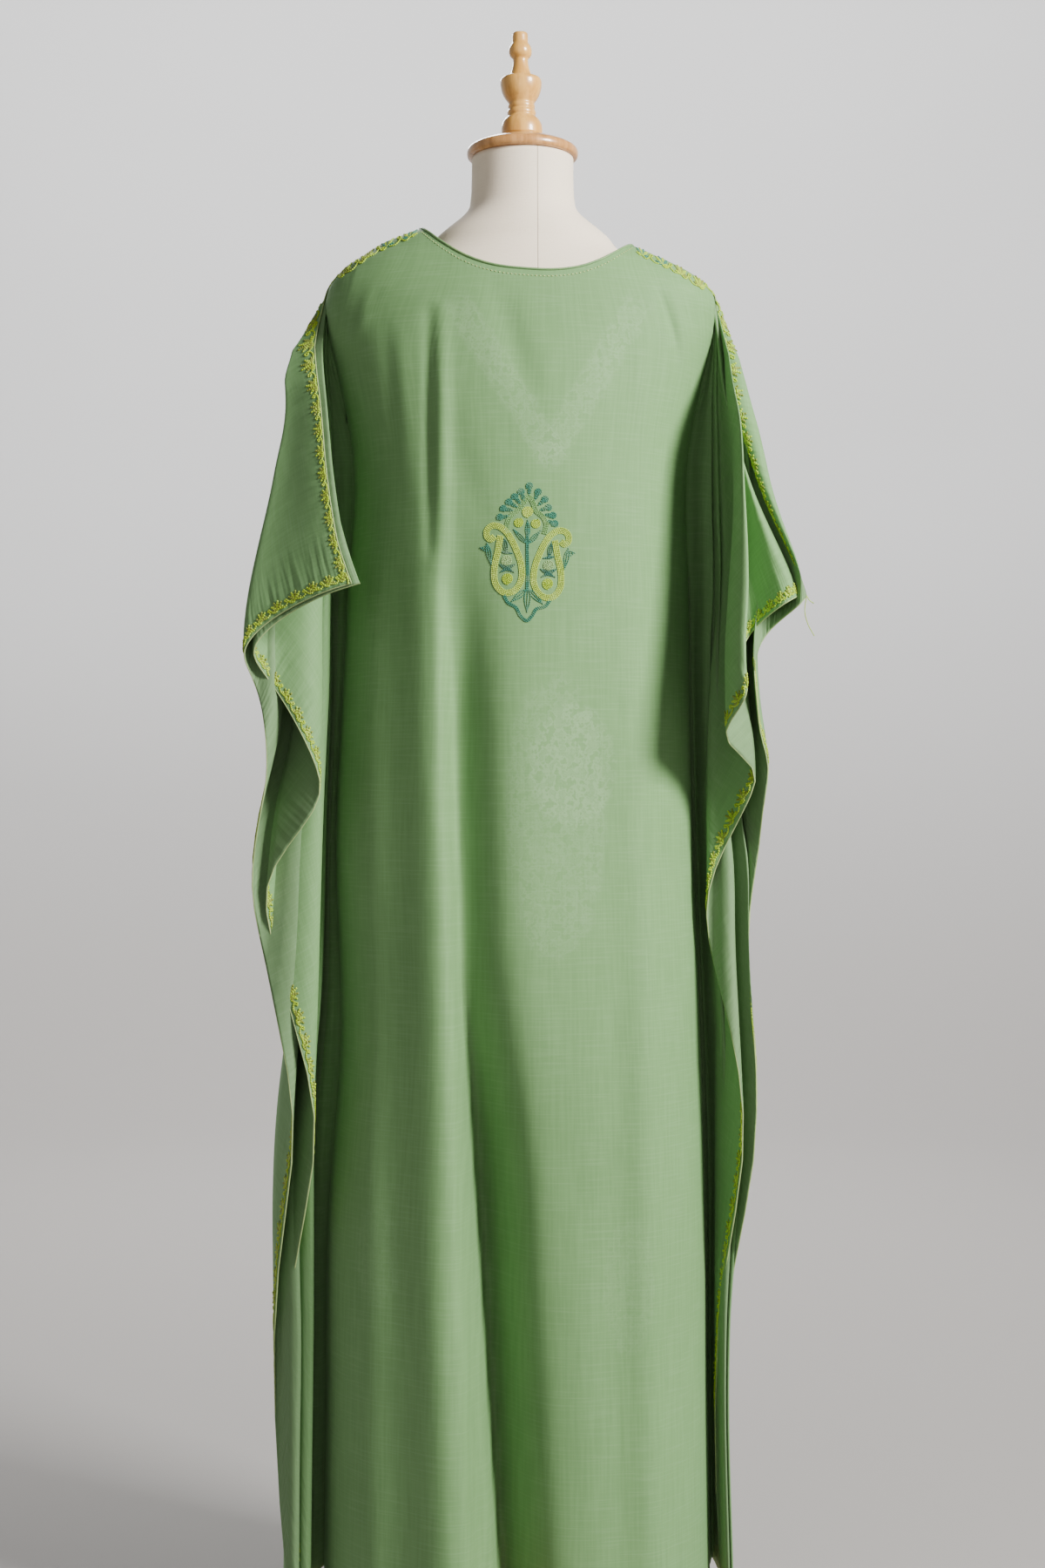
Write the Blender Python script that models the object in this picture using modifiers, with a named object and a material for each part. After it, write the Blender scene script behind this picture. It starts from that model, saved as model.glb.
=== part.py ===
"""A wide kaftan hung on a dress form, with its back towards -Y.

The kaftan is two rectangles of crepe, back and front, sewn together along the shoulders and arm
tops and down two side lines. Each half of a panel is a body, which hangs from the shoulder, and a
wing, whose cloth falls from the shoulder point in a fan of folds. The dress form is a limbless
torso with a turned cap and finial, on a pole and a round base. Metres, +Z up, with the origin on
the floor under the base.
"""
import math
from collections import namedtuple

import bmesh
import bpy
import numpy as np

# Cloth sizes
WALL = 0.0012
SEAM_GAP = 0.0003
BODY_HALF = 0.235
WING_WIDTH = 0.350
HEM_HEIGHT = 0.085
LEFT, RIGHT = -1, 1

# Grid of the faceted cloth
BODY_COLUMNS = 20
ROWS = 16
ROW_POWER = 2.0
STEPS_PER_FOLD = 3

# Neck openings, as X and height of their points
NECK_LEFT_X = -0.109
NECK_LEFT_Z = 1.532
NECK_RIGHT_X = 0.1185
NECK_RIGHT_Z = 1.5155
BACK_NECK_DROP = 0.050
BACK_NECK_ROUND = 2.6
FRONT_NECK_X = 0.020
FRONT_NECK_Z = 1.335
SETTLE_DROP = 0.14

# Shoulder points, from which the wings fan out
SHOULDER_LEFT = (-0.2097, 1.462)
SHOULDER_RIGHT = (0.2050, 1.462)
SEAM_DRAG = 0.008
DRAG_LOW = 1.25

# Cloth outline at each height: how far it reaches to the left, right, back and front
Reach = namedtuple("Reach", "z left right back front")
CLOTH = (
    Reach(1.534, 0.109, 0.0950, 0.073, 0.070),
    Reach(1.516, 0.156, 0.1185, 0.084, 0.080),
    Reach(1.505, 0.172, 0.1430, 0.089, 0.085),
    Reach(1.495, 0.188, 0.1650, 0.093, 0.089),
    Reach(1.484, 0.199, 0.1850, 0.096, 0.092),
    Reach(1.475, 0.2055, 0.1970, 0.098, 0.094),
    Reach(1.462, 0.2097, 0.2050, 0.101, 0.097),
    Reach(1.430, 0.209, 0.2050, 0.106, 0.103),
    Reach(1.380, 0.198, 0.1940, 0.112, 0.119),
    Reach(1.300, 0.183, 0.1780, 0.117, 0.134),
    Reach(1.120, 0.190, 0.1790, 0.119, 0.132),
    Reach(0.880, 0.202, 0.1840, 0.124, 0.133),
    Reach(0.660, 0.197, 0.1930, 0.130, 0.137),
    Reach(0.470, 0.211, 0.1980, 0.134, 0.141),
    Reach(0.250, 0.214, 0.2010, 0.139, 0.146),
    Reach(0.085, 0.216, 0.2040, 0.143, 0.150),
)

# Hanging folds of the body: place across, drift of that place per metre of fall, half-widths on
# either side, depth inwards (a ridge is negative), and the heights where it starts and is full
Trough = namedtuple("Trough", "x drift left right depth starts full")
BACK_TROUGHS = (
    Trough(-0.045, 0.022, 0.016, 0.050, 0.024, 1.28, 0.85),
    Trough(-0.085, 0.020, 0.050, 0.026, -0.012, 1.40, 1.00),
    Trough(-0.128, 0.006, 0.022, 0.030, 0.008, 1.36, 1.05),
    Trough(0.060, 0.000, 0.050, 0.040, 0.005, 1.30, 0.80),
    Trough(0.128, 0.010, 0.040, 0.030, -0.007, 1.38, 1.00),
    Trough(0.098, 0.012, 0.026, 0.022, 0.006, 1.10, 0.55),
)
FRONT_TROUGHS = (
    Trough(0.055, -0.010, 0.044, 0.020, 0.020, 1.22, 0.80),
    Trough(0.100, -0.006, 0.026, 0.040, -0.010, 1.30, 0.90),
    Trough(-0.060, 0.008, 0.024, 0.044, 0.016, 1.20, 0.70),
    Trough(-0.015, 0.006, 0.036, 0.030, -0.008, 1.15, 0.75),
    Trough(-0.118, 0.004, 0.030, 0.024, -0.008, 1.26, 0.95),
)

# Wing folds, a row for each: its flat angle below the arm-top seam in degrees, how far it leans out in
# the back and in the front panel and towards the viewer for each metre of fall, and the distance from the
# shoulder point at which it is full. Each fold lies deeper than the one before it, so no two cross, and
# the front panel never leans out less than the back one.
Fold = namedtuple("Fold", "angle back_out front_out near full")
LEFT_FOLDS = (
    Fold(0.0, -0.152, -0.152, 0.430, 0.35),
    Fold(30.2, 0.193, 0.193, 0.235, 0.10),
    Fold(49.3, -0.030, 0.085, 0.150, 0.34),
    Fold(56.9, 0.111, 0.111, 0.097, 0.45),
    Fold(66.6, -0.004, 0.004, 0.060, 0.70),
    Fold(72.0, 0.040, 0.040, 0.030, 0.80),
    Fold(78.5, 0.006, 0.008, 0.004, 1.00),
    Fold(84.0, 0.036, 0.036, -0.013, 1.00),
)
RIGHT_FOLDS = (
    Fold(0.0, 0.300, 0.300, 0.320, 0.34),
    Fold(32.7, 0.046, 0.085, 0.215, 0.32),
    Fold(36.6, 0.0714, 0.088, 0.190, 0.34),
    Fold(43.7, -0.020, 0.090, 0.150, 0.34),
    Fold(46.8, 0.118, 0.118, 0.108, 0.38),
    Fold(57.3, -0.030, 0.050, 0.060, 0.50),
    Fold(66.6, 0.048, 0.052, 0.032, 0.65),
    Fold(73.0, 0.000, 0.006, 0.012, 0.95),
    Fold(79.5, 0.034, 0.034, -0.005, 1.00),
)
SEAM_CURL = {LEFT: 1.6, RIGHT: 0.3}
SHOULDER_BULGE = {LEFT: 0.024, RIGHT: 0.012}
BULGE_ANGLE = {LEFT: 30.2, RIGHT: 40.0}
BULGE_REACH = 0.07
BULGE_SPREAD = 22
FOLD_STARTS = 0.35
SIDE_DRIFT = 0.040
APEX_SOFTNESS = 0.5
SIDE_SPREAD = 0.0018
TOP_SPREAD = 0.0030
SEAM_SPREAD = 0.0085
FOLD_SPREAD = 0.0040
ARMHOLE = 0.30
ARMHOLE_OPEN = 0.012

# Dress form outline at each height: half width, reach to the back and to the front
Ring = namedtuple("Ring", "z half back front")
FORM = (
    Ring(1.6140, 0.0548, 0.0548, 0.0548),
    Ring(1.5900, 0.0550, 0.0550, 0.0550),
    Ring(1.5700, 0.0560, 0.0560, 0.0550),
    Ring(1.5570, 0.0590, 0.0580, 0.0550),
    Ring(1.5480, 0.0670, 0.0610, 0.0570),
    Ring(1.5380, 0.0800, 0.0640, 0.0570),
    Ring(1.5290, 0.0910, 0.0665, 0.0580),
    Ring(1.5130, 0.1045, 0.0695, 0.0540),
    Ring(1.5020, 0.1180, 0.0750, 0.0562),
    Ring(1.4920, 0.1410, 0.0800, 0.0607),
    Ring(1.4800, 0.1690, 0.0855, 0.0700),
    Ring(1.4640, 0.1840, 0.0905, 0.0810),
    Ring(1.4400, 0.1890, 0.0940, 0.0900),
    Ring(1.4000, 0.1830, 0.1000, 0.1000),
    Ring(1.3500, 0.1720, 0.1040, 0.1140),
    Ring(1.2900, 0.1620, 0.1030, 0.1220),
    Ring(1.2000, 0.1480, 0.0930, 0.1060),
    Ring(1.1000, 0.1340, 0.0810, 0.0860),
    Ring(1.0000, 0.1480, 0.0860, 0.0910),
    Ring(0.9000, 0.1640, 0.0930, 0.0970),
    Ring(0.8200, 0.1660, 0.0930, 0.0970),
    Ring(0.7600, 0.1590, 0.0890, 0.0930),
)
FORM_SIDES = 40
FORM_RINGS = 27

# Turned pieces: (radius, height) down the outer side, from the top
CAP_FOOT = 1.6143
CAP_PROFILE = ((0.0235, 0.0235), (0.0300, 0.0215), (0.0450, 0.0165), (0.0555, 0.0120), (0.0588, 0.0098),
               (0.0600, 0.0070), (0.0600, 0.0030), (0.0582, 0.0000))
FINIAL_PROFILE = ((0.0078, 0.1356), (0.0085, 0.1344), (0.0085, 0.1248), (0.0100, 0.1232), (0.0122, 0.1192),
                  (0.0125, 0.1155), (0.0116, 0.1110), (0.0084, 0.1082), (0.0080, 0.1060), (0.0088, 0.0985),
                  (0.0122, 0.0882), (0.0180, 0.0876), (0.0218, 0.0858), (0.0225, 0.0815), (0.0216, 0.0740),
                  (0.0186, 0.0665), (0.0136, 0.0598), (0.0145, 0.0576), (0.0145, 0.0548), (0.0135, 0.0532),
                  (0.0154, 0.0512), (0.0154, 0.0478), (0.0142, 0.0460), (0.0196, 0.0415), (0.0223, 0.0345),
                  (0.0222, 0.0238))
TURNED_STEPS = 28
POLE_RADIUS = 0.0125
POLE_TOP = 0.7595
BASE_PROFILE = ((0.0180, 0.0480), (0.0230, 0.0470), (0.0260, 0.0360), (0.0500, 0.0310), (0.1500, 0.0270),
                (0.1880, 0.0240), (0.1970, 0.0200), (0.2000, 0.0140), (0.2000, 0.0040), (0.1980, 0.0000))

COLOURS = {
    "kaftan_back": ((0.190, 0.330, 0.150, 1.0), 0.75),
    "kaftan_front": ((0.190, 0.330, 0.150, 1.0), 0.75),
    "form_torso": ((0.760, 0.710, 0.630, 1.0), 0.85),
    "neck_cap": ((0.420, 0.190, 0.050, 1.0), 0.35),
    "finial": ((0.640, 0.340, 0.100, 1.0), 0.30),
    "stand_pole": ((0.300, 0.290, 0.280, 1.0), 0.35),
    "stand_base": ((0.420, 0.190, 0.050, 1.0), 0.40),
}


def smooth(low, high, value):
    """Rise from 0 at low to 1 at high, with level ends."""
    share = np.clip((np.asarray(value, dtype=float) - low) / (high - low), 0.0, 1.0)
    return share * share * (3.0 - 2.0 * share)


def read_table(table, column, heights):
    """A column of a table of heights, read between its rows."""
    rows = sorted(table, key=lambda row: row.z)
    places = [row.z for row in rows]
    values = [getattr(row, column) for row in rows]
    return np.interp(heights, places, values)


def row_shares():
    """The shares of the fall at which the rows lie, closer together at the top."""
    return [(row / ROWS) ** ROW_POWER for row in range(ROWS + 1)]


def top_point(panel, u):
    """X and height of a panel's top edge at the flat distance u from the centre line."""
    neck_half = BODY_HALF * 0.5
    if abs(u) < neck_half:
        share = u / neck_half
        middle = (NECK_LEFT_Z + NECK_RIGHT_Z) / 2
        level = middle + share * (NECK_RIGHT_Z - NECK_LEFT_Z) / 2
        x = NECK_LEFT_X + (NECK_RIGHT_X - NECK_LEFT_X) * (share + 1) / 2
        if panel == "back":
            return x, level - BACK_NECK_DROP * (1 - abs(share) ** BACK_NECK_ROUND)
        edge_x, edge_z = (NECK_LEFT_X, NECK_LEFT_Z) if x < FRONT_NECK_X else (NECK_RIGHT_X, NECK_RIGHT_Z)
        along = (x - FRONT_NECK_X) / (edge_x - FRONT_NECK_X)
        return x, FRONT_NECK_Z + (edge_z - FRONT_NECK_Z) * along
    side = LEFT if u < 0 else RIGHT
    share = (abs(u) - neck_half) / (BODY_HALF - neck_half)
    start = abs(NECK_LEFT_X if side == LEFT else NECK_RIGHT_X)
    end = abs(SHOULDER_LEFT[0] if side == LEFT else SHOULDER_RIGHT[0])
    reach = start + (end - start) * share
    rows = sorted(CLOTH, key=lambda row: -row.z)
    rows = [row for row in rows if row.z >= SHOULDER_LEFT[1]]
    column = "left" if side == LEFT else "right"
    reaches = [getattr(row, column) for row in rows]
    return side * reach, float(np.interp(reach, reaches, [row.z for row in rows]))


def trough_depth(panel, x, z):
    """How far the hanging folds move the cloth inwards at x and height z."""
    depth = 0.0
    for fold in BACK_TROUGHS if panel == "back" else FRONT_TROUGHS:
        offset = x - (fold.x + fold.drift * (1.2 - z))
        width = fold.right if offset > 0 else fold.left
        shape = math.exp(-(offset / width) ** 2)
        depth += fold.depth * shape * float(smooth(fold.starts, fold.full, z))
    return depth


def body_point(panel, u, share):
    """The cloth's middle surface in the body, at flat distance u and share of the fall from the top edge."""
    x_top, z_top = top_point(panel, u)
    z = z_top - (z_top - HEM_HEIGHT) * share
    side = "left" if u < 0 else "right"
    half = float(read_table(CLOTH, side, z))
    reach = float(read_table(CLOTH, panel, z))
    hang_x = half * math.sin(math.pi / 2 * u / BODY_HALF)
    settled = float(smooth(0.0, SETTLE_DROP, z_top - z))
    x = x_top + (hang_x - x_top) * settled
    bow = math.sqrt(max(0.0, 1 - (x / half) ** 2))
    away = -1 if panel == "back" else 1
    y = away * ((reach - trough_depth(panel, x, z) * bow) * bow + (WALL + SEAM_GAP) / 2)
    outer = abs(u) / BODY_HALF
    y -= SEAM_DRAG * outer ** 3 * float(smooth(DRAG_LOW, SHOULDER_LEFT[1], z))
    y += SIDE_DRIFT * outer ** 4 * (z_top - z) / z_top
    if panel == "front":
        under_arm = min(1.0, (z_top - z) / ARMHOLE)
        y += ARMHOLE_OPEN * math.sin(math.pi * under_arm) * outer ** 6
        x += math.copysign(SIDE_SPREAD + (TOP_SPREAD - SIDE_SPREAD) * (1 - under_arm), u) * outer ** 8
    return np.array((x, y, z))


def fold_places(panel, side, folds, radius, share):
    """Where each fold, and the side line after them, stands at a distance from the shoulder point."""
    shoulder = body_point(panel, side * BODY_HALF, 0.0)
    last = body_point(panel, side * BODY_HALF, share)
    first = folds[0]
    places = []
    for fold in folds:
        ease = float(smooth(FOLD_STARTS * fold.full, fold.full, radius))
        out = fold.back_out if panel == "back" else fold.front_out
        near = fold.near
        if fold is first:
            out *= (radius / fold.full) ** SEAM_CURL[side]
        else:
            blend = fold.angle / 90
            plain_out = first.back_out * (1 - blend) ** 2
            out = plain_out + (out - plain_out) * ease
        length = math.sqrt(1 + out * out + near * near)
        bulge = SHOULDER_BULGE[side] * math.exp(-((fold.angle - BULGE_ANGLE[side]) / BULGE_SPREAD) ** 2)
        if panel == "front":
            bulge += SEAM_SPREAD - TOP_SPREAD + FOLD_SPREAD * math.sin(math.pi * fold.angle / 90)
        bulge *= min(1.0, radius / BULGE_REACH)
        step = np.array((side * out, -near, -1.0)) * radius / length
        places.append(shoulder + step + np.array((side * bulge, 0.0, 0.0)))
    places.append(last)
    return places


def wing_point(panel, side, folds, angle, share):
    """The middle surface of a wing before the panels are spread, at a flat angle and share of the ray."""
    fall = body_point("back", BODY_HALF * side, 0.0)[2] - HEM_HEIGHT
    angles = [fold.angle for fold in folds] + [90.0]
    sine = math.sin(math.radians(angle))
    cosine = math.cos(math.radians(angle))
    reach = min(WING_WIDTH / max(cosine, 1e-9), fall / max(sine, 1e-9))
    places = fold_places(panel, side, folds, reach * share, share)
    index = int(np.searchsorted(angles, angle, side="right")) - 1
    index = min(index, len(angles) - 2)
    part = (angle - angles[index]) / (angles[index + 1] - angles[index])
    turn = part + APEX_SOFTNESS * ((1 - math.cos(math.pi * part)) / 2 - part)
    start, end = places[index], places[index + 1]
    mix = np.array((turn, part, part))
    return start + (end - start) * mix


def wing_angles(folds):
    """The flat angles of a wing's rays, a few between each fold and the next."""
    stops = [fold.angle for fold in folds] + [90.0]
    angles = []
    for start, end in zip(stops, stops[1:]):
        angles += [start + (end - start) * step / STEPS_PER_FOLD for step in range(STEPS_PER_FOLD)]
    return angles + [90.0]


def wing_grid(panel, side, folds):
    """A wing as a grid of points, rays by rows."""
    shares = row_shares()
    return [
        [wing_point(panel, side, folds, angle, share) for share in shares]
        for angle in wing_angles(folds)
    ]


def body_grid(panel):
    """A panel's body as a grid of points, columns by rows."""
    shares = row_shares()
    columns = [BODY_HALF * (2 * step / BODY_COLUMNS - 1) for step in range(BODY_COLUMNS + 1)]
    return [[body_point(panel, u, share) for share in shares] for u in columns]


def add_material(thing):
    """Give an object its own plain material."""
    colour, roughness = COLOURS[thing.name]
    material = bpy.data.materials.new(thing.name + "_finish")
    material.use_nodes = True
    shader = material.node_tree.nodes["Principled BSDF"]
    shader.inputs["Base Color"].default_value = colour
    shader.inputs["Roughness"].default_value = roughness
    thing.data.materials.append(material)


def add_object(name, mesh, collection):
    """Link a mesh as a named object with its material."""
    thing = bpy.data.objects.new(name, mesh)
    collection.objects.link(thing)
    add_material(thing)
    return thing


def add_grid(work, grid, outward):
    """Add a grid of points as quads whose normals point to the outward side."""
    points = [[work.verts.new(point) for point in line] for line in grid]
    for column, following in zip(points, points[1:]):
        for row in range(len(column) - 1):
            corners = (column[row], following[row], following[row + 1], column[row + 1])
            work.faces.new(corners if outward else tuple(reversed(corners)))


def make_panel(panel, collection):
    """One rectangle of the kaftan: its body and both wings, as a thin wall."""
    work = bmesh.new()
    away = panel == "back"
    add_grid(work, body_grid(panel), not away)
    add_grid(work, wing_grid(panel, LEFT, LEFT_FOLDS), not away)
    add_grid(work, wing_grid(panel, RIGHT, RIGHT_FOLDS), away)
    bmesh.ops.remove_doubles(work, verts=work.verts, dist=0.00001)
    mesh = bpy.data.meshes.new("kaftan_" + panel)
    work.to_mesh(mesh)
    work.free()
    thing = add_object("kaftan_" + panel, mesh, collection)
    wall = thing.modifiers.new("Wall", "SOLIDIFY")
    wall.thickness = WALL
    wall.offset = 0.0
    return thing


def make_torso(collection):
    """The form's torso and neck, lofted through the rings of its table."""
    top, bottom = FORM[0].z, FORM[-1].z
    bands = [ring.z for ring in FORM]
    heights = sorted(set(bands) | {top + (bottom - top) * step / FORM_RINGS for step in range(FORM_RINGS)})
    heights = [z for z in heights if all(abs(z - band) > 0.008 or z == band for band in bands)]
    work = bmesh.new()
    rings = []
    for z in reversed(heights):
        half = float(read_table(FORM, "half", z))
        back = float(read_table(FORM, "back", z))
        front = float(read_table(FORM, "front", z))
        ring = []
        for side in range(FORM_SIDES):
            turn = 2 * math.pi * side / FORM_SIDES
            depth = front if math.sin(turn) > 0 else back
            ring.append(work.verts.new((half * math.cos(turn), depth * math.sin(turn), z)))
        rings.append(ring)
    for upper, lower in zip(rings, rings[1:]):
        for side in range(FORM_SIDES):
            after = (side + 1) % FORM_SIDES
            work.faces.new((upper[side], lower[side], lower[after], upper[after]))
    work.faces.new(rings[0])
    work.faces.new(tuple(reversed(rings[-1])))
    mesh = bpy.data.meshes.new("form_torso")
    work.to_mesh(mesh)
    work.free()
    mesh.shade_smooth()
    return add_object("form_torso", mesh, collection)


def make_turned(name, profile, foot, collection):
    """A turned solid from its profile, closed on the axis at the top and bottom."""
    outline = [(0.0, profile[0][1])] + list(profile) + [(0.0, profile[-1][1])]
    mesh = bpy.data.meshes.new(name)
    points = [(radius, 0.0, height) for radius, height in outline]
    mesh.from_pydata(points, [(step, step + 1) for step in range(len(points) - 1)], [])
    thing = add_object(name, mesh, collection)
    thing.location = (0.0, 0.0, foot)
    turn = thing.modifiers.new("Turn", "SCREW")
    turn.steps = TURNED_STEPS
    turn.render_steps = TURNED_STEPS
    turn.use_merge_vertices = True
    turn.merge_threshold = 0.00001
    return thing


def make_pole(collection):
    """The pole from the base's socket to the torso's underside."""
    foot = BASE_PROFILE[0][1] + SEAM_GAP
    profile = ((POLE_RADIUS, POLE_TOP - foot), (POLE_RADIUS, 0.0))
    return make_turned("stand_pole", profile, foot, collection)


def main():
    """Clear the scene and build every piece."""
    for thing in list(bpy.data.objects):
        bpy.data.objects.remove(thing, do_unlink=True)
    collection = bpy.data.collections.new("kaftan_on_dress_form")
    bpy.context.scene.collection.children.link(collection)
    make_panel("back", collection)
    make_panel("front", collection)
    make_torso(collection)
    make_turned("neck_cap", CAP_PROFILE, CAP_FOOT, collection)
    make_turned("finial", FINIAL_PROFILE, CAP_FOOT, collection)
    make_pole(collection)
    make_turned("stand_base", BASE_PROFILE, 0.0, collection)


main()
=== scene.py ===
"""The embroidered kaftan on its dress form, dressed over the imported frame.

The kaftan is two rectangles of sage crepe, sewn along the shoulders and arm tops and down two side
lines, so that a wide wing of cloth falls in a fan of folds at each side. Chain stitch in lime, olive
and teal edges its free sides, its arm-top seams and its V neck, and one paisley stands on the back.
"""
import logging
import math
from dataclasses import dataclass, field
from enum import Enum
from typing import NamedTuple, Sequence

import bmesh
import bpy
import numpy as np
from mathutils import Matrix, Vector


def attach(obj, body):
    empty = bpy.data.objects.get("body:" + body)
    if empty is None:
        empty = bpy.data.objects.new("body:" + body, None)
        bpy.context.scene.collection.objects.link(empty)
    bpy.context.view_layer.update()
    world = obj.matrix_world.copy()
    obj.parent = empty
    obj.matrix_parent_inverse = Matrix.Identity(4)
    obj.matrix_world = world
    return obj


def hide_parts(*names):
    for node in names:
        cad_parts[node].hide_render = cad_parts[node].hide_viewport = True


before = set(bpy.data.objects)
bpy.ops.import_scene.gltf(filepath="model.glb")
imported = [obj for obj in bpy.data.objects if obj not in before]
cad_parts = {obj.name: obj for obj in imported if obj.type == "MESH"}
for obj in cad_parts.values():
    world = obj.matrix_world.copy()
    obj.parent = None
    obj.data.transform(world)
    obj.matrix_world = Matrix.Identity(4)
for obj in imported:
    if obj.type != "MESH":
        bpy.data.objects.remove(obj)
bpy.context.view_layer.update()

LOG = logging.getLogger("kaftan")
Colour = tuple[float, float, float, float]
BODY = "root"
# Millimetres in a metre, and how near two grid points are one
MM = 1000
MERGE = 0.00002


class Panel(Enum):
    """The two rectangles of the kaftan."""
    BACK = "back"
    FRONT = "front"


class Side(Enum):
    """The two halves of a panel, seen from behind."""
    LEFT = -1
    RIGHT = 1


class Reach(NamedTuple):
    """The hanging cloth's outline at one height, in metres from the pole's axis."""
    z: float
    left: float
    right: float
    back: float
    front: float


class Trough(NamedTuple):
    """A hanging fold: place across, drift per metre of fall, half-widths, depth and its heights."""
    x: float
    drift: float
    left: float
    right: float
    depth: float
    starts: float
    full: float


class Crease(NamedTuple):
    """A short soft crease from one place to another, with a half-width and a depth inwards."""
    x_from: float
    z_from: float
    x_to: float
    z_to: float
    width: float
    depth: float


class WingManner(NamedTuple):
    """How one wing swells below its seam and curls, and how its seam's border is laid, in mm."""
    bulge_size: float
    bulge_angle: float
    bulge_reach: float
    curl: float
    border_middle: float
    border_stretch: float


class Fold(NamedTuple):
    """A wing fold: flat angle, lean out in each panel, lean to the viewer, full radius, slack after."""
    angle: float
    back_out: float
    front_out: float
    near: float
    full: float
    slack: float


CLOTH = tuple(Reach(*row) for row in (
    (1.534, 0.109, 0.095, 0.073, 0.07), (1.516, 0.156, 0.1185, 0.084, 0.08),
    (1.505, 0.172, 0.143, 0.089, 0.085), (1.495, 0.188, 0.165, 0.093, 0.089),
    (1.484, 0.199, 0.185, 0.096, 0.092), (1.475, 0.2055, 0.197, 0.098, 0.094),
    (1.462, 0.2097, 0.205, 0.101, 0.097), (1.43, 0.209, 0.205, 0.106, 0.103),
    (1.38, 0.198, 0.194, 0.112, 0.119), (1.3, 0.183, 0.178, 0.117, 0.134),
    (1.12, 0.19, 0.179, 0.119, 0.132), (0.88, 0.202, 0.184, 0.124, 0.133),
    (0.66, 0.197, 0.193, 0.13, 0.137), (0.47, 0.211, 0.198, 0.134, 0.141),
    (0.25, 0.214, 0.201, 0.139, 0.146), (0.085, 0.216, 0.204, 0.143, 0.15),
))
TROUGHS = {
    Panel.BACK: tuple(Trough(*row) for row in (
        (-0.078, 0.034, 0.008, 0.034, 0.032, 1.24, 0.98), (-0.087, 0.06, 0.006, 0.04, 0.068, 0.79, 0.46),
        (-0.03, 0.05, 0.04, 0.11, 0.018, 0.82, 0.45), (-0.1, 0.02, 0.034, 0.02, -0.013, 1.43, 1.02),
        (-0.142, 0.006, 0.022, 0.03, 0.005, 1.36, 1.05), (0.06, 0.0, 0.05, 0.04, 0.005, 1.3, 0.8),
        (0.128, 0.01, 0.03, 0.022, -0.009, 1.42, 1.05), (0.098, 0.012, 0.026, 0.022, 0.008, 1.1, 0.55),
        (-0.162, 0.004, 0.016, 0.022, -0.006, 1.3, 0.9), (0.16, 0.006, 0.018, 0.02, 0.006, 1.2, 0.7),
    )),
    Panel.FRONT: tuple(Trough(*row) for row in (
        (0.055, -0.01, 0.044, 0.02, 0.02, 1.22, 0.8), (0.1, -0.006, 0.026, 0.04, -0.01, 1.3, 0.9),
        (-0.06, 0.008, 0.024, 0.044, 0.016, 1.2, 0.7), (-0.015, 0.006, 0.036, 0.03, -0.008, 1.15, 0.75),
        (-0.118, 0.004, 0.03, 0.024, -0.008, 1.26, 0.95),
    )),
}
CREASES = {
    Panel.BACK: tuple(Crease(*row) for row in (
        (-0.0965, 1.43, -0.096, 1.18, 0.0055, 0.0056), (-0.084, 1.43, -0.082, 1.16, 0.0085, -0.0062),
        (-0.08, 1.2, -0.072, 0.96, 0.013, -0.004), (-0.16, 1.444, -0.193, 1.378, 0.008, -0.006),
        (-0.193, 1.378, -0.192, 1.27, 0.006, -0.004), (-0.178, 1.392, -0.174, 1.24, 0.008, 0.007),
        (0.145, 1.455, 0.166, 1.385, 0.005, 0.0045), (0.166, 1.385, 0.172, 1.25, 0.006, 0.005),
        (-0.095, 1.19, -0.093, 0.95, 0.008, 0.0016), (-0.13, 1.405, -0.118, 1.25, 0.011, -0.003),
        (-0.142, 1.42, -0.135, 1.3, 0.008, 0.0026), (-0.168, 1.43, -0.15, 1.455, 0.005, 0.0016),
        (-0.176, 1.42, -0.164, 1.33, 0.009, 0.0036), (-0.026, 1.45, 0.01, 1.335, 0.015, 0.003),
        (-0.07, 1.3, -0.04, 1.2, 0.015, 0.0018), (0.125, 1.42, 0.134, 1.18, 0.013, -0.003),
        (0.156, 1.43, 0.17, 1.33, 0.006, 0.0036), (0.166, 1.43, 0.178, 1.31, 0.006, -0.002),
        (0.14, 1.46, 0.162, 1.4, 0.005, 0.0024), (-0.05, 0.684, -0.018, 0.678, 0.0028, 0.0014),
        (-0.018, 0.678, 0.035, 0.666, 0.003, 0.0013), (0.035, 0.666, 0.145, 0.656, 0.0034, 0.0011),
        (-0.05, 0.679, 0.145, 0.649, 0.0045, -0.0008), (-0.188, 0.647, -0.113, 0.661, 0.003, 0.0012),
        (0.076, 1.037, 0.117, 0.999, 0.005, 0.001), (0.011, 0.583, 0.05, 0.571, 0.0035, 0.0008),
        (0.034, 0.527, 0.095, 0.512, 0.0035, 0.0008), (0.125, 0.528, 0.162, 0.527, 0.0035, 0.0008),
        (0.097, 0.338, 0.102, 0.14, 0.0022, 0.0008), (-0.148, 0.59, -0.132, 0.38, 0.012, 0.0016),
        (-0.1, 0.52, -0.086, 0.26, 0.016, -0.0018), (0.06, 0.47, 0.07, 0.18, 0.018, -0.0018),
    )),
    Panel.FRONT: tuple(Crease(*row) for row in (
        (-0.14, 1.43, -0.08, 1.33, 0.012, 0.003), (0.15, 1.43, 0.09, 1.32, 0.012, 0.003),
        (-0.125, 1.4, -0.118, 1.15, 0.014, -0.0026), (0.118, 1.4, 0.13, 1.12, 0.012, -0.0026),
        (-0.1, 0.7, 0.04, 0.672, 0.0034, 0.0012), (0.04, 0.672, 0.15, 0.69, 0.003, 0.001),
        (-0.08, 0.42, 0.02, 0.404, 0.0034, 0.001), (0.1, 0.56, 0.115, 0.3, 0.015, 0.0016),
    )),
}
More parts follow.
